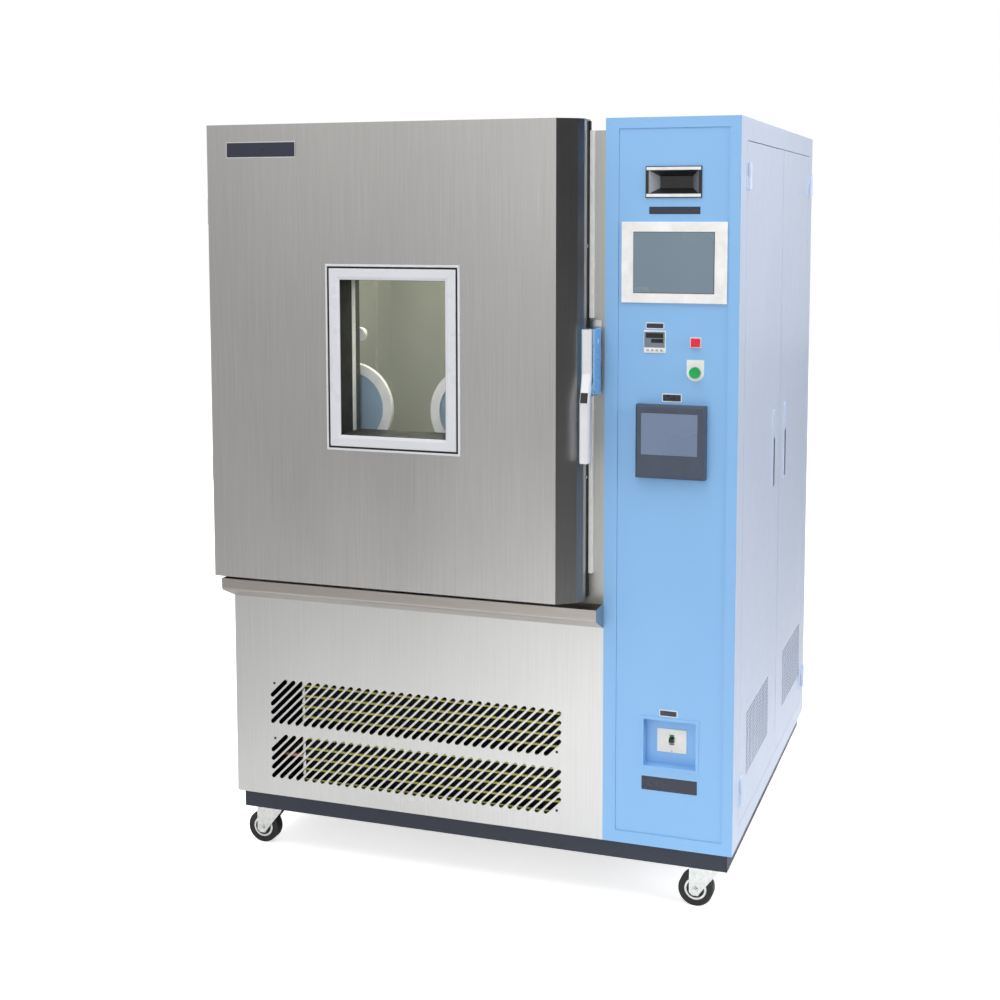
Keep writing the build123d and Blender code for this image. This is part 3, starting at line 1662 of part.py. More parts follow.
def recorder_body():
    """Chart recorder: sloped front bezel with the screen's recess, and its case."""
    x, z = instrument(recorder_offset, recorder_drop)
    y0 = panel_front - recorder_proud
    front = face_block(x, z, recorder_width, recorder_height, y0, panel_front)
    front = chamfer(front.faces().sort_by(Axis.Y)[0].edges(), recorder_slope)
    front += face_block(x, z, recorder_case, recorder_case, panel_front, panel_front + recorder_depth)
    screen_x, screen_z = x + recorder_screen_offset, z + recorder_screen_above
    y1 = y0 + 2 * recorder_screen_recess
    return front - face_block(screen_x, screen_z, recorder_screen_width, recorder_screen_height, y0, y1)


def recorder_screen():
    """Screen set in the recorder's bezel."""
    x, z = instrument(recorder_offset, recorder_drop)
    y0 = panel_front - recorder_proud + recorder_screen_recess
    screen_x, screen_z = x + recorder_screen_offset, z + recorder_screen_above
    y1 = y0 + recorder_screen_recess
    return face_block(screen_x, screen_z, recorder_screen_width, recorder_screen_height, y0, y1)


def breaker_recess():
    """Flanged recess in the panel for the main breaker."""
    x, z = breaker_centre()
    rim = 2 * breaker_flange
    flange = face_block(x, z, breaker_width, breaker_height, panel_front - sheet, panel_front)
    outer_w, outer_h = breaker_width - rim, breaker_height - rim
    box = face_block(x, z, outer_w, outer_h, panel_front, panel_front + breaker_depth)
    inner_w, inner_h = outer_w - 2 * sheet, outer_h - 2 * sheet
    y_floor = panel_front + breaker_depth - sheet
    box = flange + box - face_block(x, z, inner_w, inner_h, panel_front - sheet, y_floor)
    case_w, case_h = breaker_face_width - breaker_case_margin, breaker_face_height - breaker_case_margin
    return box - face_block(x, z, case_w, case_h, y_floor, y_floor + sheet)


def main_breaker():
    """Breaker with its front plate in the recess and its case behind."""
    x, z = breaker_centre()
    y_floor = panel_front + breaker_depth - sheet
    y0 = y_floor - breaker_face_sheet
    breaker = face_block(x, z, breaker_face_width, breaker_face_height, y0, y_floor)
    case_w, case_h = breaker_face_width - breaker_case_margin, breaker_face_height - breaker_case_margin
    breaker += face_block(x, z, case_w, case_h, y_floor, y_floor + breaker_case_depth)
    slot = toggle_width + 2 * cap_clearance
    y_pivot = toggle_pivot()[1]
    breaker -= face_block(x, z, slot, toggle_slot_height, y0, y_pivot)
    return breaker - rod("x", x - slot / 2, y_pivot, z, toggle_radius + running_clearance, slot)


def toggle_pivot():
    """Pivot of the breaker's toggle."""
    x, z = breaker_centre()
    y_floor = panel_front + breaker_depth - sheet
    return x, y_floor + toggle_radius, z


def breaker_toggle():
    """Toggle on its round root."""
    x, y, z = toggle_pivot()
    root = rod("x", x - toggle_width / 2, y, z, toggle_radius, toggle_width)
    reach = breaker_face_sheet + toggle_radius + toggle_reach
    stick = Pos(0, -reach / 2, 0) * Box(toggle_width, reach, toggle_height)
    return root + Pos(x, y, z) * Rot(-toggle_lean, 0, 0) * stick



# Electrical gear


def gear_plate_x():
    """Left face of the mounting plate."""
    return body_width + sheet + gear_plate_standoff


def electrical_plate():
    """Mounting plate on four stand-offs from the cabinet's left wall."""
    x0 = gear_plate_x()
    y0, y1 = gear_plate_front, cabinet_depth - gear_plate_margin
    z0, z1 = cabinet_z + gear_plate_margin, control_top - gear_plate_margin
    plate = block(x0, x0 + gear_plate_sheet, y0, y1, z0, z1)
    inset = gear_plate_margin / 2
    half = gear_standoff / 2
    for y in (y0 + inset, y1 - inset):
        for z in (z0 + inset, z1 - inset):
            y_span, z_span = (y - half, y + half), (z - half, z + half)
            plate += block(x0 - gear_plate_standoff, x0, *y_span, *z_span)
    return plate


def electrical_devices():
    """Contactors, relays, power supply and terminal rows on the mounting plate."""
    x0 = gear_plate_x() + gear_plate_sheet
    y0 = gear_plate_front + gear_row_gap
    z = cabinet_z + gear_plate_margin + gear_row_gap
    rows = [
        (3, 15, 12, 9),
        (5, 9, 11, 7),
        (1, 56, 6, 4.5),
        (4, 11, 13, 8),
        (6, 7.5, 9, 6),
        (1, 56, 6, 4.5),
    ]
    width = cabinet_depth - gear_plate_margin - gear_row_gap - y0
    devices = []
    for count, length, height, depth in rows:
        share = width / count
        for index in range(count):
            y = y0 + index * share
            y_end = y + min(length * gear_unit, share - gear_unit)
            devices.append(block(x0, x0 + depth * gear_unit, y, y_end, z, z + height * gear_unit))
        z += height * gear_unit + gear_row_gap
    return together(devices)


# Connections at the back


def drain_spout():
    """Condensate spout out of the rear sheet."""
    y1 = cabinet_depth
    z = cabinet_z + spout_height
    spout = rod("y", spout_x, y1 - sheet, z, spout_radius, spout_length + sheet)
    spout += rod("y", spout_x, y1, z, spout_flange_radius, spout_collar)
    return spout - rod("y", spout_x, y1 - sheet, z, spout_bore_radius, spout_length + sheet)


def cable_gland():
    """Gland for the supply cable in the rear of the control cabinet."""
    x = total_width - gland_from_right
    z = cabinet_z + gland_height
    hexagon = Plane.XZ.offset(-cabinet_depth) * Pos(x, z) * RegularPolygon(gland_radius, 6)
    nut = extrude(hexagon, -gland_length / 2)
    body = nut + rod("y", x, cabinet_depth, z, gland_radius * 0.8, gland_length)
    return body - rod("y", x, cabinet_depth, z, gland_bore_radius, gland_length)


# Sub-parts by name


def build():
    """Every sub-part by name, in the working frame."""
    front_span, rear_span = side_door_spans()
    opening_front, opening_back = side_opening()[0:2]
    nodes = {
        "base_frame": base_frame(),
        "caster_plates": caster_plates(),
        "body_panels": body_panels(),
        "front_lower_panel": front_lower_panel(),
        "chamber_insulation": chamber_insulation(),
        "chamber_liner": chamber_liner(),
        "drip_gutter": drip_gutter(),
        "door_mounts": together([door_hinge_body(), latch_keeper()]),
        "wire_shelves": together([wire_shelves(), shelf_standards()]),
        "plenum_baffle": plenum_baffle(),
        "evaporator_coil": evaporator_coil(),
        "circulation_fan": circulation_fan(),
        "fan_motor": fan_motor(),
        "cable_port_plug": cable_port_plug(),
        "condenser_coil": condenser_coil(),
        "condenser_shroud": together([condenser_shroud(), condenser_motor()]),
        "condenser_fan": condenser_fan(),
        "compressor": compressor(),
        "refrigerant_pipes": refrigerant_pipes(),
        "door_skin": door_skin(),
        "door_insulation": door_insulation(),
        "door_inner_panel": door_inner_panel(),
        "door_gasket": door_gasket(),
        "window_frame": together([window_frame(), window_spacer()]),
        "window_seal": window_seal(),
        "window_glass": window_glass(),
        "door_hinges": door_hinge_door(),
        "handle_housing": handle_housing(),
        "handle_lever": handle_lever(),
        "lever_insert": lever_insert(),
        "inner_door_glass": inner_door_glass(),
        "inner_door_fittings": together([inner_door_fittings(), arm_port_rings()]),
        "arm_port_covers": arm_port_covers(),
        "control_cabinet_shell": control_cabinet_shell(),
        "side_door_front": side_door(front_span, opening_front, 1, opening_front + front_vent_from_hinge),
        "side_door_rear": side_door(rear_span, opening_back, -1, opening_back - rear_vent_from_hinge),
        "side_paddle_front": flush_paddle(front_span, 1),
        "side_paddle_rear": flush_paddle(rear_span, -1),
        "front_control_panel": front_control_panel(),
        "display_hood": together([display_hood(), status_display()]),
        "touch_panel": together([touch_panel_bezel(), touch_panel_screen()]),
        "overheat_controller": overheat_controller(),
        "switch_cases": together([red_switch_case(), green_button_case(), button_legend_plate()]),
        "red_switch": red_switch(),
        "green_button": green_button(),
        "recorder": together([recorder_body(), recorder_screen()]),
        "breaker_recess": breaker_recess(),
        "main_breaker": main_breaker(),
        "breaker_toggle": breaker_toggle(),
        "electrical_gear": together([electrical_plate(), electrical_devices()]),
        "wall_fittings": together([cable_port_sleeve(), drain_spout(), cable_gland()]),
    }
    for name, (x, y) in caster_places().items():
        nodes["caster_fork_" + name] = caster_fork(x, y)
        nodes["caster_wheel_" + name] = caster_wheel(x, y)
    return nodes


def reference_move(nodes):
    """Move that brings the middle of the whole's underside to the origin."""
    boxes = [shape.bounding_box() for shape in nodes.values()]
    x0, x1 = min(box.min.X for box in boxes), max(box.max.X for box in boxes)
    y0, y1 = min(box.min.Y for box in boxes), max(box.max.Y for box in boxes)
    z0 = min(box.min.Z for box in boxes)
    return Pos(-(x0 + x1) / 2, -(y0 + y1) / 2, -z0)


nodes = build()
move = reference_move(nodes)
os.makedirs("parts", exist_ok=True)
for name, shape in nodes.items():
    export_step(move * shape, "parts/" + name + ".step")
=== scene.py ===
import json
import math

import bmesh
import bpy
from mathutils import Matrix, Vector

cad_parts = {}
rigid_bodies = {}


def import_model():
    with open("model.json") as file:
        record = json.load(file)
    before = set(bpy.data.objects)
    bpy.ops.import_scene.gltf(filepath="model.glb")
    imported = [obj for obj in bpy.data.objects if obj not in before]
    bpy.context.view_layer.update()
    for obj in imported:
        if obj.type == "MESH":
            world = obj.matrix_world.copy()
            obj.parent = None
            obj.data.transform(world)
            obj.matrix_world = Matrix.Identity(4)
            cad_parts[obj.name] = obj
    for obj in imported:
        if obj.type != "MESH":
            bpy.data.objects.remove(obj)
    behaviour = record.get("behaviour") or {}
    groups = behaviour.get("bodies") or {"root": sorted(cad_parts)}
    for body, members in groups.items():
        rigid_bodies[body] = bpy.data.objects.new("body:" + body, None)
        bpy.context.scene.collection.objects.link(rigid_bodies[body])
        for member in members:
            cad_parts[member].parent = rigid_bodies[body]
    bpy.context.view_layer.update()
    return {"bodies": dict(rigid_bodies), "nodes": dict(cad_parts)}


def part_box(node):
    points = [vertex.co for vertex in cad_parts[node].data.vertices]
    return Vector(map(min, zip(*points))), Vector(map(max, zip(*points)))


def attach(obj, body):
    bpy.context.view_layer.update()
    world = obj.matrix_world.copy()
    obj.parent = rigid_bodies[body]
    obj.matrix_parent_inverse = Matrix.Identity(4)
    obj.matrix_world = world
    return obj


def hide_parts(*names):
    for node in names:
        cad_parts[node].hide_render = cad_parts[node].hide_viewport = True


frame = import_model()

# Places are in millimetres from the lower left front corner of the chamber body, as in the source
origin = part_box("front_lower_panel")[0]
MM = 0.001


def at(x, y, z):
    """Point in the frame of a place given in millimetres."""
    return Vector((origin.x + x * MM, origin.y + y * MM, z * MM))


def back_from(point):
    """Place in millimetres of a point in the frame."""
    return (point.x - origin.x) / MM, (point.y - origin.y) / MM, point.z / MM


def spans_of(node):
    """Low and high end of a CAD node along x, y and z, in millimetres."""
    lo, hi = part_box(node)
    return tuple(zip(back_from(lo), back_from(hi)))


def outline_of(node):
    """Sides and levels of a CAD node, as seen from the front."""
    across, _, upwards = spans_of(node)
    return (*across, *upwards)


def front_of(node):
    """Depth of a CAD node's front."""
    return spans_of(node)[1][0]


# Camera of the photograph
camera_place = (1721.7, -3002.7, 1466.7)
camera_yaw = 18.809
camera_pitch = 5.401
camera_lens = 54.182
camera_shift = (-0.0223, -0.14)

# Materials

noise_low = 0.3
noise_high = 0.7
peel_scale = 420.0
paint_coat = 0.25
BRUSHED_UPRIGHT = (700.0, 700.0, 5.0)
BRUSHED_ACROSS = (5.0, 700.0, 700.0)


def start(name):
    """New material with its tree and its main shader."""
    made = bpy.data.materials.new(name)
    made.use_nodes = True
    tree = made.node_tree
    return made, tree, tree.nodes["Principled BSDF"]


def noise(tree, stretch, detail=3.0, roughness=0.5):
    """Noise in the object's own space, with a scale for each axis, per metre."""
    coords = tree.nodes.new("ShaderNodeTexCoord")
    mapping = tree.nodes.new("ShaderNodeMapping")
    mapping.inputs["Scale"].default_value = stretch
    texture = tree.nodes.new("ShaderNodeTexNoise")
    texture.inputs["Scale"].default_value = 1.0
    texture.inputs["Detail"].default_value = detail
    texture.inputs["Roughness"].default_value = roughness
    tree.links.new(coords.outputs["Object"], mapping.inputs["Vector"])
    tree.links.new(mapping.outputs["Vector"], texture.inputs["Vector"])
    return texture.outputs["Fac"]


def ramp(tree, value, stops):
    """Colour ramp over a value."""
    node = tree.nodes.new("ShaderNodeValToRGB")
    elements = node.color_ramp.elements
    while len(elements) < len(stops):
        elements.new(0.5)
    for element, (place, colour) in zip(elements, stops):
        element.position = place
        element.color = (*colour, 1.0)
    tree.links.new(value, node.inputs["Fac"])
    return node.outputs["Color"]


def remap(tree, value, low, high, start_at=noise_low, end_at=noise_high):
    """Value carried linearly into another range."""
    node = tree.nodes.new("ShaderNodeMapRange")
    node.inputs["From Min"].default_value = start_at
    node.inputs["From Max"].default_value = end_at
    node.inputs["To Min"].default_value = low
    node.inputs["To Max"].default_value = high
    tree.links.new(value, node.inputs["Value"])
    return node.outputs["Result"]


def mix(tree, kind, factor, first, second):
    """Mix of two colours; the factor is a number or a socket."""
    node = tree.nodes.new("ShaderNodeMix")
    node.data_type = "RGBA"
    node.blend_type = kind
    if isinstance(factor, float):
        node.inputs[0].default_value = factor
    else:
        tree.links.new(factor, node.inputs[0])
    for socket, value in ((node.inputs[6], first), (node.inputs[7], second)):
        if isinstance(value, tuple):
            socket.default_value = (*value, 1.0)
        else:
            tree.links.new(value, socket)
    return node.outputs[2]


def bump(tree, shader, height, strength, distance):
    """Bump from a height on the shader's normal."""
    node = tree.nodes.new("ShaderNodeBump")
    node.inputs["Strength"].default_value = strength
    node.inputs["Distance"].default_value = distance
    tree.links.new(height, node.inputs["Height"])
    tree.links.new(node.outputs["Normal"], shader.inputs["Normal"])


def shade(colour, factor):
    """Colour made lighter or darker."""
    return tuple(min(1.0, c * factor) for c in colour)


def grey(tone):
    """Neutral colour of one tone."""
    return (tone, tone, tone)


def toned(tree, value, colour, darker, lighter):
    """Colour that drifts with a noise between a darker and a lighter shade of it."""
    return ramp(tree, value, [(noise_low, shade(colour, darker)), (noise_high, shade(colour, lighter))])


def axis_value(tree, space, axis):
    """One coordinate of a point, in the object's space or as a direction of the world."""
    coords = tree.nodes.new("ShaderNodeTexCoord")
    split = tree.nodes.new("ShaderNodeSeparateXYZ")
    tree.links.new(coords.outputs[space], split.inputs["Vector"])
    return split.outputs[axis]


def brushed(name, colour, grain=BRUSHED_UPRIGHT, roughness=(0.28, 0.34), contrast=0.08, metallic=1.0):
    """Brushed steel: fine lines along the grain, soft clouds and slight smudges."""
    made, tree, shader = start(name)
    lines = noise(tree, grain, 5.0, 0.62)
    clouds = noise(tree, (1.7, 1.7, 0.8), 2.0)
    smudges = noise(tree, (5.0, 5.0, 3.0), 2.0)
    base = toned(tree, lines, colour, 1 - contrast, 1 + contrast)
    cloudy = ramp(tree, clouds, [(noise_low, grey(0.88)), (noise_high, grey(1.0))])
    tree.links.new(mix(tree, "MULTIPLY", 0.7, base, cloudy), shader.inputs["Base Color"])
    low, high = roughness
    rough = remap(tree, smudges, low, high)
    tree.links.new(rough, shader.inputs["Roughness"])
    bump(tree, shader, lines, 0.12, 0.0002)
    shader.inputs["Metallic"].default_value = metallic
    return made


def paint_finish(tree, shader, roughness=0.38, coat=paint_coat):
    """Gloss of sprayed paint: faint orange peel, rubbed patches and a thin coat."""
    rubbed = noise(tree, (24.0, 24.0, 24.0), 4.0)
    rough = remap(tree, rubbed, roughness - 0.05, roughness + 0.07)
    tree.links.new(rough, shader.inputs["Roughness"])
    bump(tree, shader, noise(tree, (peel_scale, peel_scale, peel_scale), 2.0), 0.06, 0.0003)
    shader.inputs["Coat Weight"].default_value = coat
    shader.inputs["Coat Roughness"].default_value = 0.2


def painted(name, colour, roughness=0.38, coat=paint_coat):
    """Sprayed paint with a slight colour drift."""
    made, tree, shader = start(name)
    drift = noise(tree, (2.2, 2.2, 1.3), 3.0)
    tree.links.new(toned(tree, drift, colour, 0.96, 1.04), shader.inputs["Base Color"])
    paint_finish(tree, shader, roughness, coat)
    return made


def moulded(name, colour, roughness=0.5, grain=1500.0, strength=0.12):
    """Moulded plastic or rubber: fine spark texture and a slight change of tone."""
    made, tree, shader = start(name)
    tone = noise(tree, (35.0, 35.0, 35.0), 3.0)
    texture = noise(tree, (grain, grain, grain), 3.0, 0.6)
    tree.links.new(toned(tree, tone, colour, 0.92, 1.08), shader.inputs["Base Color"])
    rough = remap(tree, tone, roughness - 0.06, roughness + 0.08)
    tree.links.new(rough, shader.inputs["Roughness"])
    bump(tree, shader, texture, strength, 0.0002)
    return made


def cast_metal(name, colour, roughness=0.3, mottle=90.0, spread=0.1, metallic=1.0):
    """Plated or rolled metal: mottled tone and small dents of light."""
    made, tree, shader = start(name)
    mottled = noise(tree, (mottle, mottle, mottle), 4.0, 0.6)
    fine = noise(tree, (900.0, 900.0, 900.0), 2.0)
    tree.links.new(toned(tree, mottled, colour, 1 - spread, 1 + spread), shader.inputs["Base Color"])
    rough = remap(tree, mottled, roughness - 0.04, roughness + 0.06)
    tree.links.new(rough, shader.inputs["Roughness"])
    bump(tree, shader, fine, 0.08, 0.0002)
    shader.inputs["Metallic"].default_value = metallic
    return made


def front_painted(name, front_colour, side_colour, depth):
    """Paint with one tone on the front face and another behind a plane."""
    made, tree, shader = start(name)
    edge = at(0, depth, 0).y
    behind = remap(tree, axis_value(tree, "Object", "Y"), 0.0, 1.0, edge, edge + 0.0005)
    drift = noise(tree, (2.2, 2.2, 1.3), 3.0)
    front = toned(tree, drift, front_colour, 0.96, 1.04)
    side = toned(tree, drift, side_colour, 0.97, 1.03)
    tree.links.new(mix(tree, "MIX", behind, front, side), shader.inputs["Base Color"])
    paint_finish(tree, shader)
    return made


def clear_pane(name, colour, opacity):
    """Pane of glass: mostly see-through, with faint wipe marks in its gloss."""
    made, tree, shader = start(name)
    wipes = noise(tree, (9.0, 9.0, 30.0), 4.0)
    tree.links.new(toned(tree, wipes, colour, 0.95, 1.0), shader.inputs["Base Color"])
    tree.links.new(remap(tree, wipes, 0.03, 0.09), shader.inputs["Roughness"])
    shader.inputs["Alpha"].default_value = opacity
    shader.inputs["Specular IOR Level"].default_value = 0.8
    return made


def display(name, colour, line_scale, line_depth):
    """Screen: faint pixel rows under a smooth face."""
    made, tree, shader = start(name)
    rows = noise(tree, (line_scale, line_scale, line_scale * 0.4), 1.0)
    glow = noise(tree, (6.0, 6.0, 4.0), 2.0)
    base = toned(tree, glow, colour, 0.94, 1.05)
    dark = ramp(tree, rows, [(0.35, grey(1 - line_depth)), (0.65, grey(1.0))])
    tree.links.new(mix(tree, "MULTIPLY", 1.0, base, dark), shader.inputs["Base Color"])
    tree.links.new(remap(tree, glow, 0.22, 0.32), shader.inputs["Roughness"])
    return made


STEEL = (0.62, 0.61, 0.60)
BLUE = (0.235, 0.475, 0.80)
PALE = (0.60, 0.68, 0.84)
shell_front_depth = 1.9

steel = brushed("steel_vertical", STEEL)
# Lighter copy of the body steel for the lower front panel: painted light, the same steel shown brighter
# than the door.
steel_painted_lit = brushed("steel_painted_lit", (0.74, 0.74, 0.73), roughness=(0.27, 0.32), contrast=0.05)
# Darker copy of the body steel for the chamber liner with its front flange, the shelves, the baffle and
# the door's inner panel: painted shade.
steel_inner_shaded = brushed(
    "steel_inner_shaded", (0.54, 0.54, 0.51), roughness=(0.32, 0.40), contrast=0.06, metallic=0.75
)
# Darker, warmer copy of the body steel for the drip gutter: painted shade under the door.
steel_across_shaded = brushed("steel_across_shaded", (0.50, 0.46, 0.43), BRUSHED_ACROSS)
frame_silver = painted("frame_silver", (0.66, 0.67, 0.71), 0.3)
chrome = cast_metal("chrome_satin", (0.80, 0.82, 0.85), 0.2, 60.0, 0.05)
lever_silver = cast_metal("lever_silver", (0.80, 0.80, 0.83), 0.34, 30.0, 0.02, 0.4)
# Blue tint of the handle housing is painted reflection of the blue control cabinet beside it; the housing
# itself is bright metal.
housing_painted_reflection = cast_metal("housing_painted_reflection", (0.42, 0.70, 0.96), 0.24, 60.0, 0.05, 0.9)
zinc = cast_metal("zinc_bright", (0.78, 0.79, 0.77), 0.26, 120.0, 0.12)
aluminium = cast_metal("aluminium", (0.82, 0.83, 0.84), 0.38, 70.0, 0.06)
fin_metal = cast_metal("fin_metal", (0.10, 0.11, 0.10), 0.5, 200.0, 0.2)
tube_metal = cast_metal("tube_metal", (0.62, 0.60, 0.16), 0.35, 150.0, 0.15)
copper = cast_metal("copper", (0.78, 0.40, 0.24), 0.3, 90.0, 0.15)
dark_paint = painted("dark_paint", (0.020, 0.026, 0.044), 0.45, coat=0.05)
blue_paint = painted("blue_paint", BLUE)
pale_paint = painted("pale_paint", PALE)
shell_paint = front_painted("shell_paint", BLUE, PALE, shell_front_depth)
white_plastic = moulded("white_plastic", (0.80, 0.80, 0.79), 0.42)
ivory = moulded("ivory_plastic", (0.84, 0.83, 0.76), 0.42)
bezel_plastic = moulded("bezel_plastic", (0.84, 0.83, 0.82), 0.48)
black_plastic = moulded("black_plastic", (0.016, 0.016, 0.018), 0.4)
slate_plastic = moulded("slate_plastic", (0.055, 0.070, 0.105), 0.42)
grey_plastic = moulded("grey_plastic", (0.17, 0.20, 0.24), 0.5)
light_grey = moulded("light_grey", (0.36, 0.38, 0.42), 0.5)
red_plastic = moulded("red_plastic", (0.72, 0.008, 0.035), 0.25, 400.0, 0.04)
green_plastic = moulded("green_plastic", (0.0, 0.36, 0.075), 0.25, 400.0, 0.04)
tyre = moulded("tyre_rubber", (0.012, 0.012, 0.013), 0.5, 700.0, 0.25)
hub_plastic = moulded("hub_plastic", (0.06, 0.07, 0.07), 0.35)
seal_rubber = moulded("seal_rubber", (0.010, 0.010, 0.010), 0.55, 900.0, 0.25)
port_rubber = moulded("port_rubber", (0.62, 0.62, 0.60), 0.7, 700.0, 0.25)
cover_disc = moulded("cover_disc", (0.24, 0.36, 0.50), 0.55, 500.0, 0.2)
foam = moulded("foam", (0.82, 0.76, 0.58), 0.9, 300.0, 0.5)
pane = clear_pane("pane_glass", (0.60, 0.68, 0.60), 0.035)
touch_glass = display("touch_glass", (0.175, 0.240, 0.295), 900.0, 0.06)
recorder_glass = display("recorder_glass", (0.165, 0.215, 0.325), 900.0, 0.06)
dark_glass = display("dark_glass", (0.012, 0.013, 0.016), 260.0, 0.5)
plate_face = painted("plate_face", (0.018, 0.022, 0.045), 0.3)

NODE_MATERIAL = {
    "base_frame": dark_paint,
    "caster_plates": zinc,
    "body_panels": steel,
    "front_lower_panel": steel_painted_lit,
    "chamber_insulation": foam,
    "chamber_liner": steel_inner_shaded,
    "drip_gutter": steel_across_shaded,
    "door_mounts": chrome,
    "wire_shelves": steel_inner_shaded,
    "plenum_baffle": steel_inner_shaded,
    "evaporator_coil": aluminium,
    "circulation_fan": aluminium,
    "fan_motor": dark_paint,
    "wall_fittings": white_plastic,
    "cable_port_plug": port_rubber,
    "condenser_shroud": zinc,
    "condenser_fan": black_plastic,
    "compressor": dark_paint,
    "refrigerant_pipes": copper,
    "door_skin": steel,
    "door_insulation": foam,
    "door_inner_panel": steel_inner_shaded,
    "door_gasket": seal_rubber,
    "window_frame": frame_silver,
    "window_seal": seal_rubber,
    "window_glass": pane,
    "door_hinges": chrome,
    "handle_housing": housing_painted_reflection,
    "handle_lever": lever_silver,
    "lever_insert": black_plastic,
    "inner_door_glass": pane,
    "inner_door_fittings": white_plastic,
    "arm_port_covers": cover_disc,
    "control_cabinet_shell": shell_paint,
    "side_door_front": pale_paint,
    "side_door_rear": pale_paint,
    "side_paddle_front": chrome,
    "side_paddle_rear": chrome,
    "front_control_panel": blue_paint,
    "display_hood": black_plastic,
    "touch_panel": bezel_plastic,
    "overheat_controller": white_plastic,
    "switch_cases": white_plastic,
    "red_switch": red_plastic,
    "green_button": green_plastic,
    "recorder": slate_plastic,
    "breaker_recess": blue_paint,
    "main_breaker": ivory,
    "breaker_toggle": black_plastic,
    "electrical_gear": light_grey,
}


def dress_nodes():
    """Gives each CAD node its material."""
    for name, node in frame["nodes"].items():
        if name.startswith("caster_fork"):
            chosen = zinc
        elif name.startswith("caster_wheel"):
            chosen = tyre
        else:
            chosen = NODE_MATERIAL.get(name)
        if chosen is None:
            continue
        node.data.materials.clear()
        node.data.materials.append(chosen)


# Mesh helpers


def add_box(bm, x0, x1, y0, y1, z0, z1):
    """Box between two corners given in millimetres."""
    low, high = at(x0, y0, z0), at(x1, y1, z1)
    size = high - low
    made = bmesh.ops.create_cube(bm, size=1.0)
    bmesh.ops.transform(
        bm,
        verts=made["verts"],
        matrix=Matrix.Translation((low + high) / 2) @ Matrix.Diagonal((*size, 1.0)),
    )


def add_rod(bm, axis, x, y, z, radius, length, segments=32, tip=None):
    """Round rod from a point in millimetres along an axis; a tip radius makes it a cone."""
    turns = {"x": Matrix.Rotation(math.pi / 2, 4, "Y"), "y": Matrix.Rotation(-math.pi / 2, 4, "X")}
    turn = turns.get(axis, Matrix.Identity(4))
    half = {"x": (length / 2, 0, 0), "y": (0, length / 2, 0), "z": (0, 0, length / 2)}[axis]
    middle = at(x + half[0], y + half[1], z + half[2])
    made = bmesh.ops.create_cone(
        bm,
        cap_ends=True,
        segments=segments,
        radius1=radius * MM,
        radius2=(radius if tip is None else tip) * MM,
        depth=abs(length) * MM,
    )
    bmesh.ops.transform(bm, verts=made["verts"], matrix=Matrix.Translation(middle) @ turn)


def add_ring(bm, axis, x, y, z, outer, inner, length, segments=40):
    """Flat ring with a rounded rim, from a point along an axis."""
    soft = outer - 0.08 * (outer - inner)
    profile = [(inner, 0), (outer, 0), (outer, 0.7), (soft, 1), (inner, 1)]
    loops = []
    for radius, share in profile:
        loop = []
        for step in range(segments):
            angle = 2 * math.pi * step / segments
            a, b, c = radius * math.cos(angle), radius * math.sin(angle), share * length
            turned = {"x": (c, a, b), "y": (a, c, b), "z": (a, b, c)}[axis]
            loop.append(bm.verts.new(at(x + turned[0], y + turned[1], z + turned[2])))
        loops.append(loop)
    for first, second in zip(loops, loops[1:] + loops[:1]):
        for step in range(segments):
            after = (step + 1) % segments
            bm.faces.new((first[step], first[after], second[after], second[step]))


def add_rounded(bm, x0, x1, z0, z1, y0, y1, corner, steps=5):
    """Upright plate facing the front, with rounded corners."""
    outline = []
    for cx, cz, first in (
        (x1 - corner, z1 - corner, 0),
        (x0 + corner, z1 - corner, 90),
        (x0 + corner, z0 + corner, 180),
        (x1 - corner, z0 + corner, 270),
    ):
        for step in range(steps + 1):
            angle = math.radians(first + 90 * step / steps)
            outline.append((cx + corner * math.cos(angle), cz + corner * math.sin(angle)))
    front = [bm.verts.new(at(x, y0, z)) for x, z in outline]
    rear = [bm.verts.new(at(x, y1, z)) for x, z in outline]
    bm.faces.new(front)
    bm.faces.new(rear[::-1])
    for index in range(len(outline)):
        after = (index + 1) % len(outline)
        bm.faces.new((front[index], rear[index], rear[after], front[after]))


def mitred_end(bm, corner, other, profile, gap):
    """Profile at one corner of a mitred frame, moved a little towards the other corner."""
    x, z, inward_x, inward_z = corner
    x += gap * ((other[0] > x) - (other[0] < x))
    z += gap * ((other[1] > z) - (other[1] < z))
    return [bm.verts.new(at(x + inward_x * inset, y, z + inward_z * inset)) for inset, y in profile]


def add_frame(bm, span, profile, gap=0.15):
    """Four mitred bars round a rectangle; the profile lists inset and depth."""
    x0, x1, z0, z1 = span
    corners = ((x0, z0, 1, 1), (x1, z0, -1, 1), (x1, z1, -1, -1), (x0, z1, 1, -1))
    for first, second in zip(corners, corners[1:] + corners[:1]):
        near = mitred_end(bm, first, second, profile, gap)
        far = mitred_end(bm, second, first, profile, gap)
        for index in range(len(profile)):
            after = (index + 1) % len(profile)
            bm.faces.new((near[index], near[after], far[after], far[index]))
        bm.faces.new(near)
        bm.faces.new(far[::-1])


def piece(name, bm, material, body, bevel=0.0, smooth=True):
    """Object from a mesh in progress: material, soft edges and body."""
    bmesh.ops.recalc_face_normals(bm, faces=bm.faces)
    mesh = bpy.data.meshes.new(name)
    bm.to_mesh(mesh)
    bm.free()
    made = bpy.data.objects.new(name, mesh)
    bpy.context.scene.collection.objects.link(made)
    mesh.materials.append(material)
    if bevel:
        modifier = made.modifiers.new("edges", "BEVEL")
        modifier.width = bevel * MM
        modifier.segments = 2
        modifier.limit_method = "ANGLE"
    if smooth:
        for face in mesh.polygons:
            face.use_smooth = True
        mesh.set_sharp_from_angle(angle=math.radians(35))
    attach(made, body)
    return made


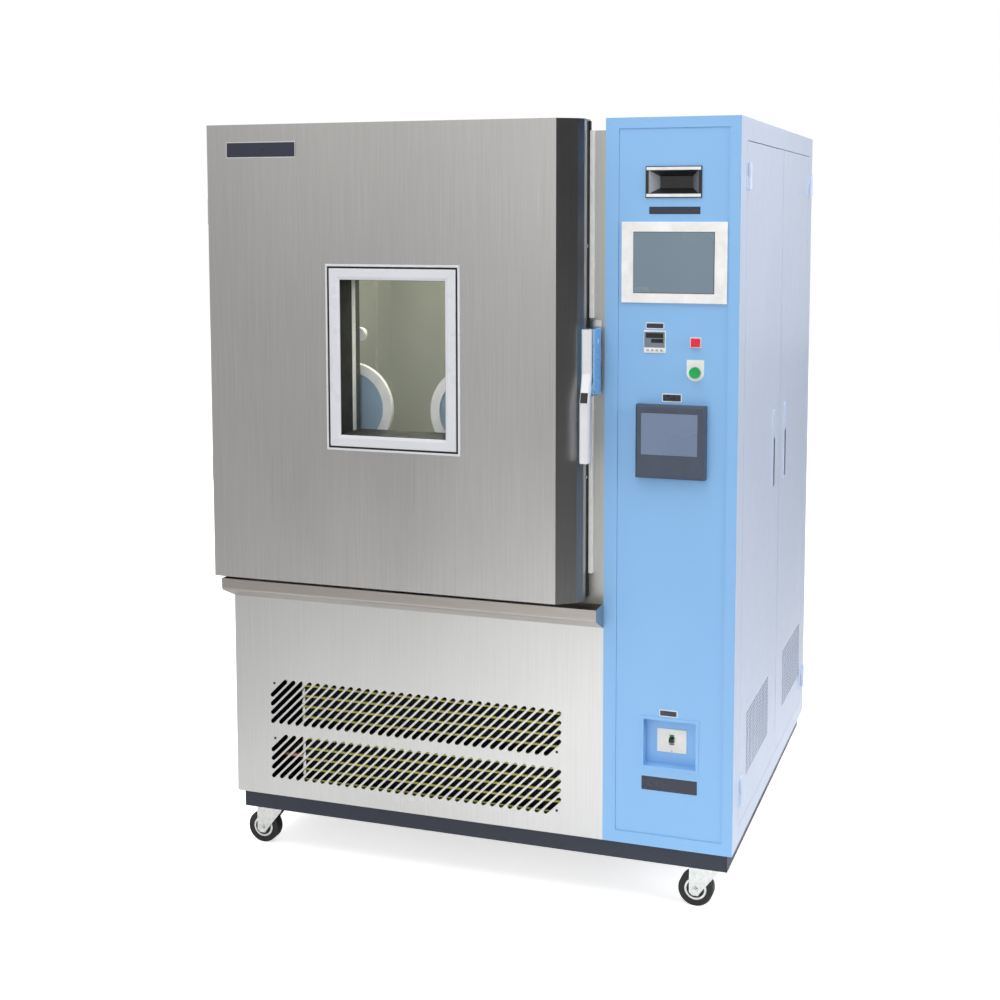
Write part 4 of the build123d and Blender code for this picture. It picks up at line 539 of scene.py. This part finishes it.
def boxes(name, spans, material, body, bevel=0.0):
    """One piece made of several boxes."""
    bm = bmesh.new()
    for span in spans:
        add_box(bm, *span)
    return piece(name, bm, material, body, bevel, smooth=False)


def plates(name, spans, depths, corner, material, body="cabinet"):
    """One piece made of rounded upright plates between two depths."""
    bm = bmesh.new()
    for span in spans:
        add_rounded(bm, *span, *depths, corner)
    return piece(name, bm, material, body)


def shrink(span, margin):
    """Rectangle with each side moved inwards."""
    x0, x1, z0, z1 = span
    return x0 + margin, x1 - margin, z0 + margin, z1 - margin


def row(count, first, pitch, width, low, high):
    """Equal rectangles side by side, from the first one's left side."""
    starts = [first + index * pitch for index in range(count)]
    return [(x, x + width, low, high) for x in starts]


# Refrigeration bay

fin_pitch = 4.4
fin_sheet = 0.5
fin_front_gap = 3.0
fin_end_gap = 3.0
core_inset = 14.0
tube_pitch = 24.6
tube_radius = 3.4
tube_segments = 12
end_plate_sheet = 2.0
end_flange_width = 7.0
end_flange_sheet = 1.5
rail_inset = 1.0


def condenser_fins(spans):
    """Thin fins round a solid core, in place of the plain block."""
    (x0, x1), (y0, y1), (z0, z1) = spans
    bottom, top = z0 + fin_end_gap, z1 - fin_end_gap
    bm = bmesh.new()
    count = int((x1 - x0 - 4 * end_plate_sheet) / fin_pitch)
    for index in range(count):
        x = x0 + 2 * end_plate_sheet + index * fin_pitch
        add_box(bm, x, x + fin_sheet, y0 + fin_front_gap, y1, bottom, top)
    add_box(bm, x0 + fin_end_gap, x1 - fin_end_gap, y0 + core_inset, y1 - core_inset, bottom, top)
    fins = piece("condenser_fins", bm, fin_metal, "cabinet", smooth=False)
    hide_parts("condenser_coil")


def condenser_tubes(spans):
    """Straight tubes across the front of the fins."""
    (x0, x1), (z0, z1) = spans[0], spans[2]
    y = spans[1][0] + fin_front_gap
    bm = bmesh.new()
    z = z0 + tube_pitch / 2
    while z < z1 - tube_radius:
        add_rod(bm, "x", x0, y, z, tube_radius, x1 - x0, tube_segments)
        z += tube_pitch
    piece("condenser_tubes", bm, tube_metal, "cabinet")


def condenser_frame(spans):
    """End plates with their front flanges, and the rails above and below the fins."""
    (x0, x1), (y0, y1), (z0, z1) = spans
    sheet, flange = end_plate_sheet, end_flange_width
    flange_back = y0 + end_flange_sheet
    rail_front, rail_back = y0 + rail_inset, y1 - rail_inset
    sheets = [
        (x0, x0 + sheet, y0, y1, z0, z1),
        (x1 - sheet, x1, y0, y1, z0, z1),
        (x0, x0 + flange, y0, flange_back, z0, z1),
        (x1 - flange, x1, y0, flange_back, z0, z1),
        (x0, x1, rail_front, rail_back, z0, z0 + sheet),
        (x0, x1, rail_front, rail_back, z1 - sheet, z1),
    ]
    boxes("condenser_frame", sheets, zinc, "cabinet")


def condenser():
    """Fins, tubes and frame of the condenser."""
    spans = spans_of("condenser_coil")
    condenser_fins(spans)
    condenser_tubes(spans)
    condenser_frame(spans)


panel_screws = ((98.8, 404.6), (98.8, 275.2), (777.6, 321.4), (777.6, 191.4))
panel_screw_radius = 3.0
panel_screw_top_radius = 2.4
panel_screw_height = 0.8
screw_segments = 20


def lower_panel_screws():
    """Dark screw heads at the ends of the slot bands."""
    bm = bmesh.new()
    head = (panel_screw_radius, -panel_screw_height, screw_segments, panel_screw_top_radius)
    for x, z in panel_screws:
        add_rod(bm, "y", x, 0.0, z, *head)
    piece("panel_screws", bm, black_plastic, "cabinet")


# Door

door_front = -85.0
door_plate_span = (47.6, 215.6, 1595.0, 1630.0)
door_plate_rim_width = 2.2
door_plate_rim_height = 1.2
door_plate_field_height = 1.6


def door_plate():
    """Bare plate on the door: dark field in a bright rim."""
    rim_front = door_front - door_plate_rim_height
    field_front = door_front - door_plate_field_height
    field_span = shrink(door_plate_span, door_plate_rim_width)
    rim_depths, field_depths = (rim_front, door_front), (field_front, rim_front)
    plates("door_plate_rim", [door_plate_span], rim_depths, 1.5, chrome, "door")
    plates("door_plate_field", [field_span], field_depths, 1.0, plate_face, "door")


window_trim_width = 4.6
window_trim_height = 3.0
window_trim_round = 0.8
window_line_width = 4.5
window_frame_width = 24.6
window_frame_round = 1.0
window_slope_width = 7.0
window_slope_drop = 2.2
window_frame_return = 2.0
spacer_bars = ((-27.0, -20.5), (-18.0, -11.5))
spacer_sheet = 1.2
spacer_end_gap = 1.0
pane_depths = (-36.0, -20.0, -9.0)


def trim_profile():
    """Profile of the thin outer trim round the window: inset and depth of each point."""
    width, front = window_trim_width, door_front - window_trim_height
    return (
        (0, door_front),
        (0, front + window_trim_round),
        (window_trim_round, front),
        (width, front),
        (width, door_front),
    )


def frame_profile(front):
    """Profile of the window frame, which slopes back towards the panes."""
    width, soft = window_frame_width, window_frame_round
    return (
        (0, door_front),
        (0, front + soft),
        (soft, front),
        (width - window_slope_width, front),
        (width - soft, front + window_slope_drop),
        (width, door_front + window_frame_return),
    )


def window_surround():
    """Mitred window frame and its outer trim, in place of the plain frame."""
    outer = outline_of("window_frame")
    inner = shrink(outer, window_trim_width + window_line_width)
    bm = bmesh.new()
    add_frame(bm, outer, trim_profile())
    add_frame(bm, inner, frame_profile(front_of("window_frame")))
    surround = piece("window_surround", bm, frame_silver, "door", smooth=False)
    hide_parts("window_frame")


def pane_spacers():
    """White bars between the panes, at the left and right of the opening."""
    inset = window_trim_width + window_line_width + window_frame_width
    x0, x1, z0, z1 = shrink(outline_of("window_frame"), inset)
    bars = []
    for front, back in spacer_bars:
        for side in ((x0, x0 + spacer_sheet), (x1 - spacer_sheet, x1)):
            bars.append((*side, front, back, z0 + spacer_end_gap, z1 - spacer_end_gap))
    boxes("pane_spacers", bars, white_plastic, "door")


def window_panes():
    """Three panes as thin sheets in the window, in place of the thick ones."""
    x0, x1, z0, z1 = outline_of("window_glass")
    bm = bmesh.new()
    for y in pane_depths:
        corners = [bm.verts.new(at(x, y, z)) for x, z in ((x0, z0), (x1, z0), (x1, z1), (x0, z1))]
        bm.faces.new(corners)
    panes = piece("window_panes", bm, pane, "door", smooth=False)
    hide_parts("window_glass")


strip_span = (850.0, 857.0)
strip_front = -12.0
strip_levels = ((722.0, 1098.0), (1260.0, 1645.0))
strip_skin = 0.5
# Black strip on the door's closing edge: partly the gasket's outer lip, partly painted shade in the gap
# between door and frame.
edge_lip_shade_depths = (-26.0, -4.0)
edge_lip_shade_end_gap = 4.0


def edge_strips():
    """White faces of the strip beside the door, above and below the latch keeper."""
    x0, x1 = strip_span
    skin_x, skin_y = x1 + strip_skin, strip_front - strip_skin
    spans = []
    for z0, z1 in strip_levels:
        spans.append((x0, skin_x, skin_y, strip_front, z0, z1))
        spans.append((x1, skin_x, strip_front, 0.0, z0, z1))
    boxes("edge_strips", spans, white_plastic, "cabinet")


def edge_lip_and_shade():
    """Black strip along the door's closing edge: the gasket's outer lip, and painted shade in the gap
    beside the door.
    """
    edge_x, z0, z1 = outline_of("door_skin")[1:]
    levels = (z0 + edge_lip_shade_end_gap, z1 - edge_lip_shade_end_gap)
    spans = [(edge_x, edge_x + strip_skin, *edge_lip_shade_depths, *levels)]
    boxes("edge_lip_and_shade", spans, seal_rubber, "door")


side_screw_levels = (1409.0, 928.0)
side_screw_depth = -24.0
side_screw_radius = 4.0
side_screw_top_radius = 3.0
side_screw_height = 1.2
door_stop_size = 3.0
door_stop_depths = (-12.0, -4.0)
door_stop_levels = (1640.0, 1664.0)
door_stop_bevel = 0.6


def door_side_screws():
    """Small screws on the door's closing edge and the dark stop at its top."""
    edge_x = outline_of("door_skin")[1]
    bm = bmesh.new()
    head = (side_screw_radius, side_screw_height, screw_segments, side_screw_top_radius)
    for z in side_screw_levels:
        add_rod(bm, "x", edge_x, side_screw_depth, z, *head)
    piece("door_side_screws", bm, chrome, "door")
    stop = bmesh.new()
    add_box(stop, edge_x, edge_x + door_stop_size, *door_stop_depths, *door_stop_levels)
    piece("door_top_stop", stop, black_plastic, "door", door_stop_bevel)


# Control panel

panel_face = 2.0
plate_rim_height = 0.5
plate_field_height = 0.8
least_corner = 0.4
label_rim = 1.8
recorder_label_rim = 2.0
dark_rim = 0.8


def bare_plate(name, span, rim, rim_width, corner):
    """Blank plate on the control panel: a rim with a dark field inside it."""
    rim_front = panel_face - plate_rim_height
    field_front = panel_face - plate_field_height
    plates(name + "_rim", [span], (rim_front, panel_face), corner, rim)
    depths = (field_front, rim_front)
    field, field_corner = shrink(span, rim_width), max(least_corner, corner - rim_width)
    plates(name + "_field", [field], depths, field_corner, plate_face)


def panel_plates():
    """Blank plates and labels on the control panel."""
    bare_plate("name_plate", (972.0, 1078.0, 1474.0, 1489.0), plate_face, dark_rim, 1.0)
    bare_plate("spec_plate", (965.0, 1084.0, 262.7, 292.1), plate_face, dark_rim, 1.0)
    bare_plate("controller_label", (966.5, 1005.5, 1239.3, 1252.6), white_plastic, label_rim, 3.0)
    bare_plate("recorder_label", (1001.9, 1043.6, 1089.6, 1107.0), white_plastic, recorder_label_rim, 3.0)
    bare_plate("breaker_label", (1002.2, 1041.2, 425.0, 439.4), white_plastic, label_rim, 2.0)


hood_span = (964.6, 1081.1, 1507.0, 1571.0)
hood_wall = 6.5
hood_band = 8.0
hood_band_inset = 1.8
hood_band_height = 0.7
funnel_front_gap = 0.4
funnel_sheet = 0.8
funnel_back = 26.0
funnel_half_width = 34.0
funnel_half_height = 12.2


def funnel_wall(name, corners, lift, material):
    """Thin slanted sheet with four corners; the lift raises its rear face."""
    bm = bmesh.new()
    front = [bm.verts.new(at(x, y, z)) for x, y, z in corners]
    rear = [bm.verts.new(at(x, y + funnel_sheet, z + lift)) for x, y, z in corners]
    bm.faces.new(front)
    bm.faces.new(rear[::-1])
    for index in range(4):
        after = (index + 1) % 4
        bm.faces.new((front[index], rear[index], rear[after], front[after]))
    piece(name, bm, material, "cabinet", smooth=False)


def display_funnel():
    """Slanted walls from the hood's mouth to the display, with painted light and shade in their tones."""
    x0, x1, z0, z1 = hood_span
    front = front_of("display_hood") + funnel_front_gap
    left, right, low, high = x0 + hood_wall, x1 - hood_wall, z0 + hood_band, z1 - hood_band
    mouth = ((left, front, low), (right, front, low), (right, front, high), (left, front, high))
    back_left, back_right, back_low, back_high = funnel_end()
    deep = (
        (back_left, funnel_back, back_low),
        (back_right, funnel_back, back_low),
        (back_right, funnel_back, back_high),
        (back_left, funnel_back, back_high),
    )
    # The four walls are one plastic; their tones are painted light and shade: the left wall light grey
    # where light falls, the right wall mid grey, the top and bottom black.
    walls = (
        ("funnel_side_left_lit", 0, 3, 0.0, light_grey),
        ("funnel_side_right", 2, 1, 0.0, grey_plastic),
        ("funnel_top", 3, 2, funnel_sheet, black_plastic),
        ("funnel_bottom", 1, 0, funnel_sheet, black_plastic),
    )
    for name, first, second, lift, material in walls:
        funnel_wall(name, (mouth[first], mouth[second], deep[second], deep[first]), lift, material)


def funnel_end():
    """Rectangle at the bottom of the funnel: its sides and its levels."""
    x0, x1, z0, z1 = hood_span
    x, z = (x0 + x1) / 2, (z0 + z1) / 2
    wide, high = funnel_half_width, funnel_half_height
    return x - wide, x + wide, z - high, z + high


def display_front():
    """Dark face at the bottom of the funnel and the bright bands on the hood."""
    depths = (funnel_back - funnel_sheet, funnel_back)
    plates("display_face", [funnel_end()], depths, 0.6, dark_glass)
    x0, x1, z0, z1 = hood_span
    front = front_of("display_hood")
    left, right = x0 + hood_band_inset, x1 - hood_band_inset
    bands = [
        (left, right, z1 - hood_band, z1 - hood_band_inset),
        (left, right, z0 + hood_band_inset, z0 + hood_band),
    ]
    plates("display_bands", bands, (front - hood_band_height, front), 0.8, white_plastic)


touch_span = (938.7, 1108.9, 1312.7, 1438.5)
touch_edge_width = 1.2


def touch_screen():
    """Screen in the touch panel's bezel with its dark edge line."""
    y = front_of("touch_panel")
    plates("touch_edge", [touch_span], (y + 0.5, y + 1.0), 0.6, black_plastic)
    screen = shrink(touch_span, touch_edge_width)
    plates("touch_screen", [screen], (y + 0.2, y + 0.5), 0.5, touch_glass)


controller_foot = 11.5
controller_rim = 1.5
controller_top_rim = 2.2
controller_digit_rows = ((5.0, 15.0, 5.0), (16.0, 25.0, 17.0))
controller_digit_rim = 5.0
controller_key_count = 4
controller_key_size = (6.0, 4.0)
controller_key_start = (6.0, 3.6)
controller_key_pitch = 9.6


def controller_face():
    """Display field, digits and keys of the small controller."""
    x0, x1, z0, z1 = outline_of("overheat_controller")
    y = front_of("overheat_controller")
    field = (x0 + controller_rim, x1 - controller_rim, z0 + controller_foot, z1 - controller_top_rim)
    plates("controller_field", [field], (y - 0.4, y), 1.0, grey_plastic)
    digits = []
    for inset, low, high in controller_digit_rows:
        digits.append((x0 + inset, x1 - controller_digit_rim, z1 - low, z1 - high))
    plates("controller_digits", digits, (y - 0.7, y - 0.4), 0.8, dark_glass)
    width, height = controller_key_size
    x_first, z_key = x0 + controller_key_start[0], z0 + controller_key_start[1]
    keys = row(controller_key_count, x_first, controller_key_pitch, width, z_key, z_key + height)
    plates("controller_keys", keys, (y - 0.6, y - 0.1), 1.2, light_grey)


recorder_edge_span = (961.5, 1083.5, 979.5, 1070.0)
recorder_edge_width = 2.0
recorder_strip_span = (960.0, 1082.0, 939.0, 957.0)
recorder_keys = {"count": 6, "first": 955.5, "pitch": 23.0, "width": 21.0, "low": 961.5, "high": 975.0}
recorder_marks = {"count": 4, "first": 963.5, "pitch": 29.0, "width": 3.5, "low": 942.0, "high": 954.0}


def recorder_face():
    """Screen, key row and bare label strip of the chart recorder."""
    y = front_of("recorder")
    screen = shrink(recorder_edge_span, recorder_edge_width)
    keys, marks = row(**recorder_keys), row(**recorder_marks)
    strip = recorder_strip_span
    plates("recorder_edge", [recorder_edge_span], (y + 0.6, y + 1.3), 0.8, black_plastic)
    plates("recorder_screen", [screen], (y + 0.3, y + 0.6), 0.5, recorder_glass)
    plates("recorder_keys", keys, (y + 0.2, y + 1.6), 1.2, grey_plastic)
    plates("recorder_strip", [strip], (y + 0.6, y + 1.6), 1.0, white_plastic)
    plates("recorder_marks", marks, (y + 0.4, y + 0.6), 0.6, light_grey)


breaker_mark_half_width = 4.5
breaker_mark_levels = (1.0, 6.0)
breaker_mark_height = 0.4
breaker_test_drop = 16.0
breaker_test_radius = 1.4
breaker_test_height = 0.5
breaker_test_segments = 16


def breaker_face():
    """Green mark over the breaker's toggle and the small test button under it."""
    x0, x1, z0, z1 = outline_of("breaker_toggle")
    face, middle = front_of("main_breaker"), (x0 + x1) / 2
    low, high = breaker_mark_levels
    mark = (middle - breaker_mark_half_width, middle + breaker_mark_half_width, z1 + low, z1 + high)
    depths = (face - breaker_mark_height, face)
    plates("breaker_mark", [mark], depths, 0.5, green_plastic)
    bm = bmesh.new()
    place = (middle, face, z0 - breaker_test_drop)
    add_rod(bm, "y", *place, breaker_test_radius, -breaker_test_height, breaker_test_segments)
    piece("breaker_test", bm, light_grey, "cabinet")


# Casters

hub_ring = {"outer": 24.0, "inner": 19.5, "height": 0.9}
hub_boss = {"outer": 12.0, "inner": 5.2, "height": 1.6}
axle_nut_radius = 6.5
axle_nut_height = 3.0
axle_end_radius = 3.6
axle_end_top_radius = 2.6
axle_end_height = 1.6
axle_end_segments = 16


def wheel_rings(name, wheel_body, x, z, faces, sizes, material):
    """One ring on each face of a wheel."""
    bm = bmesh.new()
    for y, outward in zip(faces, (-1, 1)):
        add_ring(bm, "y", x, y, z, sizes["outer"], sizes["inner"], outward * sizes["height"])
    piece(name, bm, material, wheel_body)


def axle_nuts(place, x, z):
    """Nut and rounded axle end on each side of a fork."""
    bm = bmesh.new()
    faces = spans_of("caster_fork_" + place)[1]
    for y, outward in zip(faces, (-1, 1)):
        add_rod(bm, "y", x, y, z, axle_nut_radius, outward * axle_nut_height, 6)
    for y, outward in zip(faces, (-1, 1)):
        nut_face = y + outward * axle_nut_height
        end = (axle_end_radius, outward * axle_end_height, axle_end_segments, axle_end_top_radius)
        add_rod(bm, "y", x, nut_face, z, *end)
    piece("axle_nuts_" + place, bm, zinc, "fork_" + place)


def caster_details():
    """Hub rings on the wheels and nuts on the axles."""
    for body in frame["bodies"]:
        if not body.startswith("wheel_"):
            continue
        place = body[len("wheel_"):]
        (x0, x1), faces, (z0, z1) = spans_of("caster_wheel_" + place)
        x, z = (x0 + x1) / 2, (z0 + z1) / 2
        wheel_rings("hub_ring_" + place, body, x, z, faces, hub_ring, zinc)
        wheel_rings("hub_boss_" + place, body, x, z, faces, hub_boss, hub_plastic)
        axle_nuts(place, x, z)


# Stage

floor_half = 14.0
floor_drop = 0.0005
floor_glow_mirrored = 0.03
floor_glow_seen = 0.62
floor_mirror_span = (-1.3, 2.7)
floor_mirror_tones = ((0.0, 0.46), (0.4, 0.98), (0.47, 0.98), (0.56, 0.30), (0.75, 0.05))


def floor_material():
    """White for the camera; in reflections, tones that fall off to the right."""
    made, tree, shader = start("floor_white")
    faint = noise(tree, (1.5, 1.5, 1.5), 2.0)
    path = tree.nodes.new("ShaderNodeLightPath")
    seen = ramp(tree, faint, [(noise_low, grey(0.90)), (noise_high, grey(0.92))])
    across = remap(tree, axis_value(tree, "Object", "X"), 0.0, 1.0, *floor_mirror_span)
    mirrored = ramp(tree, across, [(place, grey(tone)) for place, tone in floor_mirror_tones])
    colour = mix(tree, "MIX", path.outputs["Is Camera Ray"], mirrored, seen)
    tree.links.new(colour, shader.inputs["Base Color"])
    shader.inputs["Roughness"].default_value = 0.9
    shader.inputs["Emission Color"].default_value = (1.0, 1.0, 1.0, 1.0)
    glow = remap(tree, path.outputs["Is Camera Ray"], floor_glow_mirrored, floor_glow_seen, 0.0, 1.0)
    tree.links.new(glow, shader.inputs["Emission Strength"])
    return made


def floor():
    """Pale floor that meets the white background."""
    bm = bmesh.new()
    bmesh.ops.create_grid(bm, x_segments=2, y_segments=2, size=floor_half)
    mesh = bpy.data.meshes.new("floor")
    bm.to_mesh(mesh)
    bm.free()
    mesh.materials.append(floor_material())
    plane = bpy.data.objects.new("floor", mesh)
    plane.location = (0.0, 0.0, -floor_drop)
    bpy.context.scene.collection.objects.link(plane)


def area_light(name, place, target, size, power, glossy=True):
    """Soft area light aimed at a point."""
    data = bpy.data.lights.new(name, "AREA")
    data.shape = "RECTANGLE"
    data.size, data.size_y = size
    data.energy = power
    lamp = bpy.data.objects.new(name, data)
    lamp.location = place
    lamp.rotation_euler = (Vector(target) - Vector(place)).to_track_quat("-Z", "Y").to_euler()
    lamp.visible_glossy = glossy
    lamp.visible_camera = False
    bpy.context.scene.collection.objects.link(lamp)
    return lamp


room_strength = 1.38
room_tones_across = (
    (0.10, (0.36, 0.36, 0.36)),
    (0.26, (0.50, 0.50, 0.49)),
    (0.38, (0.88, 0.88, 0.87)),
    (0.52, (0.80, 0.80, 0.81)),
    (0.64, (0.20, 0.20, 0.20)),
    (0.76, (0.05, 0.05, 0.05)),
    (1.0, (0.03, 0.03, 0.04)),
)
room_tones_upwards = ((0.0, 0.62), (0.40, 0.66), (0.62, 1.0))


def world():
    """White behind the object; for light and reflections, a room that is darker to the right front."""
    made = bpy.data.worlds.new("room")
    bpy.context.scene.world = made
    made.use_nodes = True
    tree = made.node_tree
    across = remap(tree, axis_value(tree, "Generated", "X"), 0.0, 1.0, -1.0, 1.0)
    upwards = remap(tree, axis_value(tree, "Generated", "Z"), 0.0, 1.0, -0.3, 0.3)
    room = ramp(tree, across, room_tones_across)
    heights = ramp(tree, upwards, [(place, grey(tone)) for place, tone in room_tones_upwards])
    background = tree.nodes["Background"]
    tree.links.new(mix(tree, "MULTIPLY", 1.0, room, heights), background.inputs["Color"])
    background.inputs["Strength"].default_value = room_strength
    white = tree.nodes.new("ShaderNodeBackground")
    white.inputs["Strength"].default_value = 1.0
    white.inputs["Color"].default_value = (1.0, 1.0, 1.0, 1.0)
    path = tree.nodes.new("ShaderNodeLightPath")
    blend = tree.nodes.new("ShaderNodeMixShader")
    tree.links.new(path.outputs["Is Camera Ray"], blend.inputs["Fac"])
    tree.links.new(background.outputs["Background"], blend.inputs[1])
    tree.links.new(white.outputs["Background"], blend.inputs[2])
    tree.links.new(blend.outputs["Shader"], tree.nodes["World Output"].inputs["Surface"])


lamp_depth = 260.0
lamp_target_depth = 300.0
lamp_drop = 115.0
lamp_size = 0.4
lamp_power = 6.0
lamp_colour = (1.0, 1.0, 0.82)


def lights():
    """Big soft lights round the object, which stay out of reflections."""
    area_light("top", (0.0, -0.6, 4.2), (0.0, 0.0, 0.0), (5.0, 5.0), 125.0, False)
    area_light("front", (0.9, -4.4, 1.9), (0.0, 0.0, 0.8), (2.4, 2.0), 36.0, False)
    area_light("side", (4.2, -0.6, 2.0), (0.3, 0.1, 0.8), (2.6, 2.6), 138.0, False)
    area_light("rear", (-1.5, 4.4, 2.4), (0.0, 0.0, 0.8), (3.0, 2.4), 80.0, False)


def chamber_lamp():
    """Lamp under the ceiling inside the chamber."""
    x0, x1, z0, z1 = outline_of("chamber_liner")
    front, middle = front_of("chamber_liner"), (x0 + x1) / 2
    place = at(middle, front + lamp_depth, z1 - lamp_drop)
    target = at(middle, front + lamp_target_depth, z0)
    lamp = area_light("chamber_lamp", place, target, (lamp_size, lamp_size), lamp_power)
    lamp.data.color = lamp_colour


def camera():
    """Camera at the photograph's place."""
    data = bpy.data.cameras.new("view")
    data.sensor_width = 36.0
    data.lens = camera_lens
    data.shift_x, data.shift_y = camera_shift
    data.clip_start = 0.05
    made = bpy.data.objects.new("view", data)
    made.location = at(*camera_place)
    made.rotation_euler = (math.radians(90.0 - camera_pitch), 0.0, math.radians(camera_yaw))
    bpy.context.scene.collection.objects.link(made)
    bpy.context.scene.camera = made


dress_nodes()
condenser()
lower_panel_screws()
door_plate()
window_surround()
pane_spacers()
window_panes()
edge_strips()
edge_lip_and_shade()
door_side_screws()
panel_plates()
display_funnel()
display_front()
touch_screen()
controller_face()
recorder_face()
breaker_face()
caster_details()
floor()
world()
lights()
chamber_lamp()
camera()
bpy.context.scene.view_settings.view_transform = "Standard"
